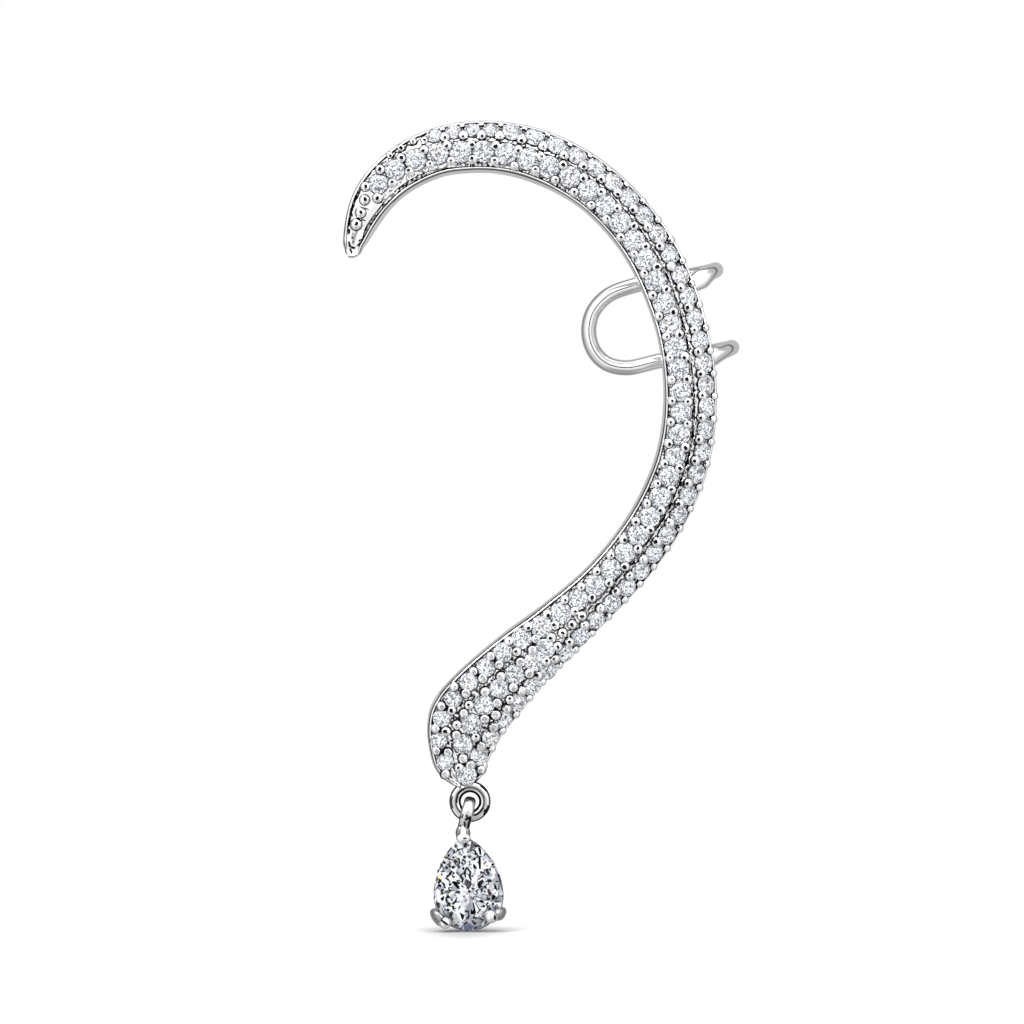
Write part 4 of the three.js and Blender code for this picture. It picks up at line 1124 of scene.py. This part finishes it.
    ("grey", 0.045, [(-1.55, 2.72), (-1.85, 2.22), (-2.1, 1.8)]),
    ("dark", 0.05, [(0.52, 4.1), (0.85, 3.72), (1.12, 3.4)]),
    ("grey", 0.05, [(1.12, 3.4), (1.38, 3.05), (1.7, 2.52)]),
    ("grey", 0.045, [(1.93, 2.0), (2.2, 1.3), (2.33, 0.8), (2.41, 0.2)]),
    ("grey", 0.045, [(-2.2, 1.2), (-2.33, 0.85)]),
    ("mid", 0.05, [(-1.5, -1.9), (-1.2, -2.12), (-0.8, -2.3)]),
    ("mid", 0.05, [(0.6, -2.4), (1.0, -2.22), (1.35, -2.0)]),
]
LINE_GAIN = 2.05  # times as wide as listed


def pear_outline(scale, steps):
    half, wing = PEAR["half"], PEAR["wing"]
    heights = [PEAR_TIP * (1 - cos(pi / 2 * (1 - i / steps))) for i in range(1, steps)]
    side = [(math.sqrt(wing**2 - z**2) - (wing - half), z) for z in heights]
    angles = [-pi * i / (steps * 2) for i in range(steps * 2 + 1)]
    points = [(0.0, PEAR_TIP)] + side + [(half * cos(angle), half * sin(angle)) for angle in angles]
    return [(x * scale, z * scale) for x, z in points + [(-x, z) for x, z in reversed(side)]]


def hang(point):
    """From the drop's own frame to its place under the ring."""
    return lean(point, -DROP["tilt"]) + np.array([DROP["x"], RING_Y, DROP["z"]])


def pear_reach(angle):
    """How far the pear's outline reaches in a direction from the middle of its widest line."""
    half, wing = PEAR["half"], PEAR["wing"]
    x, z = abs(cos(angle)), sin(angle)
    if z <= 0:
        return half
    if math.atan2(z, x) <= math.asin(PEAR_TIP / wing):
        return wing - (wing - half) * x
    return PEAR_TIP * z


def facet(degrees, slope, height, side=1, inset=0.0):
    """A facet's plane (unit normal, distance): at this height it touches the outline, moved in by inset."""
    angle, tilt = rad(degrees), rad(slope)
    normal = np.array([cos(angle) * sin(tilt), sin(angle) * sin(tilt), side * cos(tilt)])
    return normal, sin(tilt) * (pear_reach(angle) - inset) + cos(tilt) * height


def facet_planes():
    """The pear's facets as planes: (unit normal, distance), in (x, z, height ahead of the girdle)."""
    edge = PEAR["girdle"] / 2
    crown = edge + PEAR["crown"]
    inset = PEAR["crown"] / tan(rad(PEAR_CROWN[0][1])) * 1.04
    step = 2 * pi / GIRDLE_SIDES
    walls = [step * (k + 0.5) for k in range(GIRDLE_SIDES)]
    planes = [(np.array([cos(angle), sin(angle), 0.0]), pear_reach(angle)) for angle in walls]
    for tiers, side in ((PEAR_CROWN, 1), (PEAR_PAVILION, -1)):
        planes += [facet(degrees, slope, edge, side) for directions, slope in tiers for degrees in directions]
    directions, slope = PEAR_STARS
    planes += [facet(degrees, slope, crown, inset=inset) for degrees in directions]
    ends = ((1.0, crown), (-1.0, edge + PEAR["pavilion"]))
    return planes + [(np.array([0.0, 0.0, side]), height) for side, height in ends]


def cut_gem(normals, offsets):
    """The solid inside all the planes: points, and one flat face for each plane that touches it."""
    count = len(normals)
    i, j = np.triu_indices(count, 1)
    corners = []
    for a in range(count - 2):
        b, c = i[i > a], j[i > a]
        sets = np.stack([np.broadcast_to(normals[a], (len(b), 3)), normals[b], normals[c]], axis=1)
        good = np.abs(np.linalg.det(sets)) > 1e-7
        right = np.stack([np.full(len(b), offsets[a]), offsets[b], offsets[c]], axis=1)[good]
        found = np.linalg.solve(sets[good], right[..., None])[..., 0]
        corners.append(found[(found @ normals.T <= offsets + 1e-7).all(axis=1)])
    corners = np.unique(np.round(np.concatenate(corners), 5), axis=0)
    faces = []
    for normal, offset in zip(normals, offsets):
        on = np.nonzero(np.abs(corners @ normal - offset) < 5e-5)[0]
        if len(on) >= 3:
            middle = corners[on].mean(axis=0)
            u, v = basis(normal, 0.0)
            turn = np.arctan2((corners[on] - middle) @ v, (corners[on] - middle) @ u)
            faces.append(tuple(int(k) for k in on[np.argsort(turn)]))
    return corners, faces


def ribbon(width, points):
    """The outline of a line of a given width, or of a spot."""
    points = [np.array(p, float) for p in points]
    if width == 0:
        return points
    half = width * LINE_GAIN / 2
    if len(points) == 1:
        return [points[0] + np.array([cos(angle + 0.4), sin(angle + 0.4)]) * half for angle in turns(6)]
    left, right = [], []
    last = len(points) - 1
    for i, point in enumerate(points):
        way = points[min(i + 1, last)] - points[max(i - 1, 0)]
        side = np.array([-way[1], way[0]]) / np.linalg.norm(way) * half * (0.6 if i in (0, last) else 1.0)
        left.append(point + side)
        right.append(point - side)
    return left + right[::-1]


def round_trip(items):
    """Each item with the one after it, round to the first."""
    return zip(items, items[1:] + items[:1])


def inside(point, outline):
    """Whether a point is inside an outline."""
    hit = False
    for (ax, az), (bx, bz) in round_trip(outline):
        if (az > point[1]) != (bz > point[1]) and point[0] < (bx - ax) * (point[1] - az) / (bz - az) + ax:
            hit = not hit
    return hit


PEAR_RIM = {"inset": 0.985, "steps": 7, "width": 0.035}  # a painted line of shade inside the girdle, in short pieces
PEAR_FACING = 0.05  # a facet whose normal leans ahead more than this is part of the crown
# strength of the painted tints of fire between the pear's painted marks
PEAR_TINT = 0.45
PEAR_LEVELS = (0.66, 1.0)  # painted brightness of the parts between the painted marks


def pear():
    """The pear cut: its facets behind the girdle with painted tints, and a front painted with the reflections
    and fire that show through it.
    """
    rng = random.Random(SEEDS["drop"])
    normals, offsets = (np.array(column) for column in zip(*facet_planes()))
    corners, faces = cut_gem(normals, offsets)
    crown, back = [], []
    for face in faces:
        a, b, c = (corners[face[k]] for k in (0, len(face) // 3, 2 * len(face) // 3))
        across = np.cross(b - a, c - a)
        (crown if across[2] > PEAR_FACING * np.linalg.norm(across) else back).append(face)
    used = sorted({k for face in crown for k in face})
    number = {k: i for i, k in enumerate(used)}
    flat_points = [Vector(corners[k][:2]) for k in used]
    lines = [(number[a], number[b]) for face in crown for a, b in round_trip(face)]
    rim = pear_outline(PEAR_RIM["inset"], 2 * PEAR_RIM["steps"])
    steps = PEAR_RIM["steps"]
    pieces = [rim[k:k + steps + 1] for k in range(0, len(rim) - steps, steps)]
    shapes = []
    for tone, width, points in PEAR_FIRE + [("mid", PEAR_RIM["width"], piece) for piece in pieces]:
        outline = ribbon(width, points)
        start, count = len(flat_points), len(outline)
        flat_points += [Vector(point) for point in outline]
        lines += [(start + k, start + (k + 1) % count) for k in range(count)]
        shapes.append((tone, outline))
    found, _, cells = delaunay_2d_cdt(flat_points, lines, [], 0, 1e-6)[:3]
    plane = np.array([[p[0], p[1]] for p in found])
    front = normals[:, 2] > PEAR_FACING
    heights = ((offsets[front] - plane @ normals[front][:, :2].T) / normals[front][:, 2]).min(axis=1)
    local = list(corners) + [(p[0], p[1], h) for p, h in zip(plane, heights)]
    tints = [facet_tint(rng, 1.0) for _ in back]
    sides = np.abs(normals[:, 2]) <= PEAR_FACING
    kept = []
    for cell in cells:
        middle = plane[list(cell)].mean(axis=0)
        if (normals[sides][:, :2] @ middle > offsets[sides] - 1e-4).any():
            continue
        tones = [tone for tone, outline in shapes if inside(middle, outline)]
        if tones:
            tints.append(PEAR_TONES[tones[-1]] + (1.0,))
        else:
            tints.append(facet_tint(rng, PEAR_TINT, rng.uniform(*PEAR_LEVELS)))
        kept.append(tuple(len(corners) + k for k in cell))
    return Shape().add([hang(np.array([x, GIRDLE_Y - h, z])) for x, z, h in local], back + kept, painted_reflection=tints)


# ---- The drop's setting ---------------------------------------------------------------------------


def around(angle, reach, y):
    return np.array([reach * cos(angle), GIRDLE_Y + y, reach * sin(angle)])


def ball(shape, centre, size, painted_grey=0.0, mark=None):
    """An ellipsoid painted an even grey of shade; with a mark, a painted dark reflection on its front and
    painted shade round its outline and over its back instead: (x, z, half width, half height, turn).
    """
    sides, rings = 32, 20
    size = np.array(size)
    points = []
    for a in (pi * i / rings for i in range(1, rings)):
        ways = [np.array([sin(a) * cos(b), -cos(a), sin(a) * sin(b)]) for b in turns(sides)]
        points += [centre + way * size / 2 for way in ways]
    points += [centre + np.array([0, y, 0]) for y in (-size[1] / 2, size[1] / 2)]
    faces = grid_faces(rings - 1, sides)
    top, bottom, last = len(points) - 2, len(points) - 1, (rings - 2) * sides
    for k in range(sides):
        k1 = (k + 1) % sides
        faces += [(top, k, k1), (last + k, bottom, last + k1)]
    recess = [painted_grey] * len(points)
    if mark is not None:
        for k, (x, y, z) in enumerate(points):
            across, _, up = lean(np.array([x, 0, z]) - centre, mark[4])
            far = math.hypot((across - mark[0]) / mark[2], (up - mark[1]) / mark[3])
            outline = smooth((y - centre[1]) / size[1], -0.17, -0.06) * 0.75
            recess[k] = max(1 - smooth(far, 0.7, 1.3), outline) if y < centre[1] else 0.75
    shape.add([hang(p) for p in points], faces, recess)


def rod(shape, path, radius, steps, swell=lambda t: (1, 1), side=(0.0, 1.0, 0.0), painted_grey=lambda t: 0.0):
    """A round wire along a path; at a share t of its length swell gives factors along side and across it, and
    the last function its painted shade.
    """
    path, radii = round_ended(catmull(path, False, steps), radius)
    sides, last = 28, len(path) - 1
    factors = [swell(k / last) for k in range(last + 1)]
    radii = [(a * across, b * along) for (a, b), (across, along) in zip(radii, factors)]
    points, faces = tube(path, radii, sides, side)
    shape.add([hang(p) for p in points], faces, [painted_grey(k // sides / last) for k in range(len(points))])


def lower_claw(shape, foot, bead, reach, tall, closer, size, mark):
    low = PEAR["half"] * GALLERY["scale"]
    stand = PEAR["half"] + 0.1 + CLAW["wire"] / 2 - closer
    slope = math.atan(PEAR["crown"] / (PEAR["half"] * (1 - PEAR["table"])))
    crown_y = -PEAR["girdle"] / 2 - tan(slope) * (PEAR["half"] - reach)
    bead_at = around(bead, reach, crown_y - (0.12 + CLAW["bead"] / 2) / cos(slope))
    bow = around(foot, (low + stand) / 2 + CLAW["bow"], GALLERY["behind"] / 2)
    path = [around(foot, low, GALLERY["behind"]), bow, around(foot, stand + 0.06, 0),
            around(foot, stand, -CLAW["fold"]), bead_at]

    def swell(t):
        return CLAW["wide"], 1 + tall * smooth(t, 0.1, 0.5) * (1 - smooth(t, 0.72, 0.98))

    # painted shade along the claw, darkest beside the bead
    def painted_grey(t):
        return lerp(*CLAW_GREY, smooth(t, 0.83, 0.88))

    rod(shape, path, CLAW["wire"] / 2, 46, swell, around(foot, 1, 0) - around(foot, 0, 0), painted_grey)
    ball(shape, bead_at, [CLAW["bead"] * size] * 3, mark=mark)


def top_claw(shape):
    below = RING["radius"] + BAIL["radius"]
    x = RING["x"] - below * sin(BAIL["lean"]) - DROP["x"]
    z = RING["z"] - below * cos(BAIL["lean"]) - DROP["z"]
    foot = lean((x, 0, z), DROP["tilt"])
    behind = np.array([0, GIRDLE_Y + GALLERY["behind"], PEAR_TIP * GALLERY["scale"]])
    y = GIRDLE_Y - PEAR["girdle"] / 2 - TOP_BEAD["size"][1] / 2 - TOP_BEAD["ahead"]
    bead_at = np.array([TOP_BEAD["x"], y, TOP_BEAD["z"]])
    over = np.array([foot[0], y * 0.75, foot[2]])
    bend = (behind + foot) / 2 + np.array([0, 0.1, 0.1])
    for path in ([behind, bend, foot], [foot, over, bead_at]):
        rod(shape, path, CLAW["wire"] / 2, 16)
    ball(shape, bead_at, TOP_BEAD["size"], mark=TOP_BEAD["mark"])
    ball(shape, bead_at + np.array(COLLAR["aside"]), COLLAR["size"], COLLAR["painted_grey"])


def basket():
    shape = Shape()
    loop = [(x, GIRDLE_Y + GALLERY["behind"], z) for x, z in pear_outline(GALLERY["scale"], 5)]
    path = catmull(loop, True, 120)
    points, faces = tube(path + path[:1], [(GALLERY["wire"] / 2,) * 2] * (len(path) + 1), 20)
    shape.add([hang(p) for p in points], faces[:-2])
    for claw in LOWER_CLAWS:
        lower_claw(shape, **claw)
    top_claw(shape)
    return shape


# ---- Materials ------------------------------------------------------------------------------------


class Nodes:
    """Short hand for building a node tree; each call gives the new node's first or named output."""

    def __init__(self, owner):
        owner.use_nodes = True
        self.tree = owner.node_tree
        self.tree.nodes.clear()

    def add(self, kind, inputs=None, output=0, **settings):
        node = self.tree.nodes.new("ShaderNode" + kind)
        for key, value in settings.items():
            setattr(node, key, value)
        for key, value in (inputs or {}).items():
            if isinstance(value, bpy.types.NodeSocket):
                self.tree.links.new(value, node.inputs[key])
            else:
                node.inputs[key].default_value = value
        return node.outputs[output] if node.outputs else None

    def number(self, operation, *values):
        return self.add("Math", dict(enumerate(values)), operation=operation)

    def vector(self, operation, *values, output="Vector"):
        return self.add("VectorMath", dict(enumerate(values)), output, operation=operation)

    def scaled(self, vector, factor):
        return self.add("VectorMath", {0: vector, "Scale": factor}, operation="SCALE")

    def split(self, vector):
        return self.add("SeparateXYZ", {0: vector}).node.outputs

    def spread(self, value, start, end, first, last, soft=False):
        """A value's run from start to end, taken to the run from first to last."""
        limits = {0: value, 1: start, 2: end, 3: first, 4: last}
        return self.add("MapRange", limits, interpolation_type="SMOOTHSTEP" if soft else "LINEAR")

    def colours(self, value, *stops):
        """A colour for a value, from two stops: (value, colour)."""
        colour = self.add("ValToRGB", {0: value})
        for element, (position, tone) in zip(colour.node.color_ramp.elements, stops):
            element.position = position
            element.color = (*tone, 1)
        return colour

    def attribute(self, name, output):
        return self.add("Attribute", output=output, attribute_name=name)

    def noise(self, place, scale, detail, roughness=0.5):
        inputs = {"Vector": place, "Scale": scale, "Detail": detail, "Roughness": roughness}
        return self.add("TexNoise", inputs, "Fac")


def material_of(name, surface, *values):
    """A material whose surface has the inputs that a function of its nodes and the values gives."""
    material = bpy.data.materials.new(name)
    nodes = Nodes(material)
    place = nodes.add("TexCoord", output="Object")
    shader = nodes.add("BsdfPrincipled", surface(nodes, place, *values))
    nodes.add("OutputMaterial", {"Surface": shader})
    return material


# (painted shade, colour): the polished metal, and the near black painted where there is shade
POLISHED = (0.08, (0.93, 0.935, 0.945))
PAINTED_DARK_TONE = (0.63, (0.012, 0.012, 0.014))
# Noise scales per metre, with the strength and depth in metres of the bumps that they make
CLOUDS = {"scale": 900.0, "bump": {"Strength": 0.25, "Distance": 0.00002}}
GRAIN = {"scale": 9000.0, "bump": {"Strength": 0.12, "Distance": 0.000008}}
POLISH = (0.05, 0.13)  # roughness of the polished metal
UNPOLISHED = 0.5


def metal(nodes, place):
    """Rhodium-plated metal: polished high spots, faint polishing ripple, and painted shade in the cuts and
    other dark places, where the metal is also rougher.
    """
    recess = nodes.attribute("recess", "Fac")
    cloud = nodes.noise(place, CLOUDS["scale"], 3.0, 0.6)
    grain = nodes.noise(place, GRAIN["scale"], 4.0, 0.7)
    polish = nodes.spread(cloud, 0.35, 0.7, *POLISH)
    rough = nodes.spread(recess, 0.0, 1.0, polish, UNPOLISHED)
    bump = nodes.add("Bump", {"Height": grain, **GRAIN["bump"]})
    ripple = nodes.add("Bump", {"Height": cloud, "Normal": bump, **CLOUDS["bump"]})
    colour = nodes.colours(recess, POLISHED, PAINTED_DARK_TONE)
    return {"Base Color": colour, "Metallic": 1.0, "Roughness": rough, "Normal": ripple}


# How the painted reflections of the drop stone's inner facets spread round its middle
SPOKES = {"x": 0.05, "z": 0.32, "count": 25, "length": 0.52}


def spokes(nodes, place):
    """Coordinates round the middle of the drop: turns times the spokes, and rings outward."""
    middle = tuple(c * MM for c in hang(np.array([SPOKES["x"], 0.0, SPOKES["z"]])))
    x, _, z = nodes.split(nodes.vector("SUBTRACT", place, middle))
    angle = nodes.number("ARCTAN2", z, x)
    reach = nodes.vector("LENGTH", nodes.add("CombineXYZ", {"X": x, "Z": z}), output="Value")
    turn = nodes.number("MULTIPLY", angle, SPOKES["count"] / (2 * pi))
    out = nodes.number("MULTIPLY", reach, 1 / (SPOKES["length"] * MM))
    return nodes.add("CombineXYZ", {"X": turn, "Y": out})


# Painted reflections of the stones: patches of painted light and dark with painted dark edges.
# cell: size of a patch in mm; line: brightness of its edge; low: of the darkest patches; scatter: how far
# patches turn; ior, clear: refraction and how much shows through; breaks: the noise above which an edge
# breaks off; edge: the distances over which it fades, in cells; drop: whether the patches lie in spokes
ROUND_CUT = {"cell": 0.15, "line": 0.02, "low": 0.3, "scatter": 0.25, "ior": 1.76, "clear": 0.15,
             "breaks": 0.44, "edge": (0.07, 0.2), "drop": False}
DROP_CUT = {"cell": 0.34, "line": 0.022, "low": 0.34, "scatter": 0.02, "ior": 1.5, "clear": 0.0,
            "breaks": 0.41, "edge": (0.0504, 0.144), "drop": True}
BREAKS = {"scale": 1.1, "soft": 0.12}  # scale in patches, and how softly an edge breaks off
PATCH_STOPS = (0.15, 0.55)  # between these values a painted patch goes from dark to clear
COOL = 1.08  # blue of the painted dark patches


def zirconia(nodes, place, cut):
    """Clear cubic zirconia: painted patches of light and dark, standing in for reflections, meet along fine
    painted dark facet edges.
    """
    normal = nodes.add("NewGeometry", output="Normal")
    # painted reflection colour of each facet
    painted_reflection = nodes.attribute("painted_reflection", "Color")
    scale = 1 / (cut["cell"] * MM)
    cells = {"Vector": place, "Scale": scale}
    if cut["drop"]:
        cells = {"Vector": spokes(nodes, place), "Scale": 1.0}
    patches = nodes.add("TexVoronoi", cells, "Color")
    rim = nodes.add("TexVoronoi", cells, "Distance", feature="DISTANCE_TO_EDGE")
    breaks = nodes.noise(place, scale * BREAKS["scale"], 1.0)
    gate = nodes.spread(breaks, cut["breaks"], cut["breaks"] + BREAKS["soft"], cut["line"], 1.0)
    edge = nodes.spread(rim, *cut["edge"], gate, 1.0)
    aside = nodes.vector("SUBTRACT", patches, (0.5, 0.5, 0.5))
    turned = nodes.vector("NORMALIZE", nodes.vector("MULTIPLY_ADD", aside, (cut["scatter"],) * 3, normal))
    dark = (cut["low"], cut["low"], cut["low"] * COOL)
    shade = nodes.colours(patches, *zip(PATCH_STOPS, (dark, (1, 1, 1))))
    return {
        "Base Color": nodes.scaled(nodes.vector("MULTIPLY", painted_reflection, shade), edge), "Roughness": 0.0,
        "IOR": cut["ior"], "Transmission Weight": cut["clear"],
        "Specular IOR Level": nodes.number("MULTIPLY", painted_reflection, 0.5), "Normal": turned}


# The painted soft shadow on the floor: an ellipse about the drop, and how dark it gets in the middle.
PAINTED_SHADOW = {"offset": (2.7, 0.4, 0.0), "scale": (172.0, 76.0, 1.0), "floor": 0.55}
PAPER = {"grain": 60.0, "greyest": 0.98, "rough": 0.9}


def white_paper(nodes, place):
    """Matt white paper with a painted soft shadow under the drop."""
    grain = nodes.noise(place, PAPER["grain"], 2.0)
    about = nodes.add("Mapping", {"Vector": place, "Location": PAINTED_SHADOW["offset"], "Scale": PAINTED_SHADOW["scale"]})
    blob = nodes.add("TexGradient", {"Vector": about}, "Fac", gradient_type="SPHERICAL")
    spot = nodes.spread(blob, 0.0, 1.0, 1.0, PAINTED_SHADOW["floor"], soft=True)
    paper = nodes.colours(grain, (0.0, (PAPER["greyest"],) * 3), (1.0, (1.0, 1.0, 1.0)))
    colour = nodes.scaled(paper, spot)
    return {"Base Color": colour, "Roughness": PAPER["rough"], "Specular IOR Level": 0.0}


# ---- Studio ---------------------------------------------------------------------------------------

FLOOR = {"z": -43.56, "half": 3.0}  # its half width in metres
CAMERA = {"place": (-12.246, -409.3, -13.67), "lens": 200, "sensor": 36, "clip": (0.01, 20)}
LIGHTS_AIM = (-12, -4, -14)
# name, place, size in metres, power in watts
LIGHTS = [("key_softbox", (-260, -260, 240), 0.16, 0.6), ("fill_softbox", (260, -300, 120), 0.14, 0.35)]
# Cards of the light tent: direction, half angle in degrees, softness, brightness
CARDS = [
    ((-0.55, -0.7, 0.45), 34, 14, 1.25), ((0.75, -0.55, 0.3), 26, 12, 1.1), ((0.0, -0.45, 1.0), 32, 14, 2.1),
    ((0.1, -0.55, -0.8), 22, 10, 0.5), ((0.0, -1.0, 0.0), 6.5, 1.5, 0.01),
]
TENT = (0.52, 0.95)  # brightness behind and ahead of the part
TENT_TURN = (0.1, -0.5)  # the y of the directions between which it changes
# Dark ring of the tent, about the view from the front, in degrees
TENT_RING = {"from": 110, "to": 117, "soft": 4, "level": 0.15}


def build_world():
    """A white tent with soft cards and one dark ring, seen as plain white paper."""
    world = bpy.data.worlds.new("light_tent")
    bpy.context.scene.world = world
    nodes = Nodes(world)

    def within(facing, outer, inner):
        """Rises from 0 to 1 as a cosine goes from one angle to another, in degrees."""
        return nodes.spread(facing, cos(rad(outer)), cos(rad(inner)), 0.0, 1.0, soft=True)

    way = nodes.add("TexCoord", output="Generated")
    ahead = nodes.split(way)[1]
    value = nodes.spread(ahead, *TENT_TURN, *TENT, soft=True)
    for axis, half, soft, level in CARDS:
        facing = nodes.vector("DOT_PRODUCT", way, tuple(unit(np.array(axis))), output="Value")
        lit = within(facing, half + soft, half - soft * 0.5)
        value = nodes.add("Mix", {0: lit, 2: value, 3: level}, data_type="FLOAT")
    back = nodes.number("MULTIPLY", ahead, -1.0)
    start, end, soft = (TENT_RING[key] for key in ("from", "to", "soft"))
    dark = nodes.number("MULTIPLY", within(back, start - soft, start), within(back, end + soft, end))
    value = nodes.add("Mix", {0: dark, 2: value, 3: TENT_RING["level"]}, data_type="FLOAT")
    tent = nodes.add("Background", {"Color": (1, 1, 1, 1), "Strength": value})
    paper = nodes.add("Background", {"Color": (1, 1, 1, 1), "Strength": 1.0})
    seen = nodes.add("LightPath", output="Is Camera Ray")
    nodes.add("OutputWorld", {"Surface": nodes.add("MixShader", {0: seen, 1: tent, 2: paper})})


def build_floor():
    data = bpy.data.meshes.new("floor")
    corners = [(x * FLOOR["half"], y * FLOOR["half"], 0) for x, y in ((-1, -1), (1, -1), (1, 1), (-1, 1))]
    data.from_pydata(corners, [], [(0, 1, 2, 3)])
    data.materials.append(material_of("white_sweep", white_paper))
    floor = put("floor", data)
    floor.location = (0, 0, FLOOR["z"] * MM)
    floor.visible_glossy = False
    floor.visible_transmission = False


def build_camera():
    data = bpy.data.cameras.new("camera")
    data.lens = CAMERA["lens"]
    data.sensor_width = CAMERA["sensor"]
    data.clip_start, data.clip_end = CAMERA["clip"]
    camera = put("camera", data)
    camera.location = Vector(CAMERA["place"]) * MM
    camera.rotation_euler = (rad(90), 0, 0)
    bpy.context.scene.camera = camera


def build_lights():
    for name, place, size, energy in LIGHTS:
        data = bpy.data.lights.new(name, "AREA")
        data.shape = "DISK"
        data.size = size
        data.energy = energy
        light = put(name, data)
        light.location = Vector(place) * MM
        aim = Vector(LIGHTS_AIM) * MM - light.location
        light.rotation_euler = aim.to_track_quat("-Z", "Y").to_euler()


build_camera()
build_world()
build_lights()
build_floor()
rhodium = material_of("rhodium", metal)
round_stone = material_of("zirconia", zirconia, ROUND_CUT)
drop_stone = material_of("zirconia_drop", zirconia, DROP_CUT)
# name, shape, material, body, slot, CAD node, angle in degrees from which an edge is sharp
PIECES = [
    ("climber_bar", bar(), rhodium, "climber", "white_metal", "climber_frame", 42),
    ("pave_beads", beads(), rhodium, "climber", "white_metal", "climber_frame", 60),
    ("pave_stones", pave(), round_stone, "climber", "clear_stone", "climber_frame", None),
    ("ear_cuff_wire", cuff(), rhodium, "climber", "white_metal", "climber_frame", 50),
    ("hanging_ring", hanging_ring(), rhodium, "climber", "white_metal", "climber_frame", 60),
    ("bail_ring", bail(), rhodium, "drop", "white_metal", "drop_setting", 60),
    ("drop_basket", basket(), rhodium, "drop", "white_metal", "drop_setting", 60),
    ("pear_brilliant", pear(), drop_stone, "drop", "clear_stone", "pear_stone", None),
]
for piece in PIECES:
    make(*piece)
bpy.context.scene.view_settings.view_transform = "Standard"
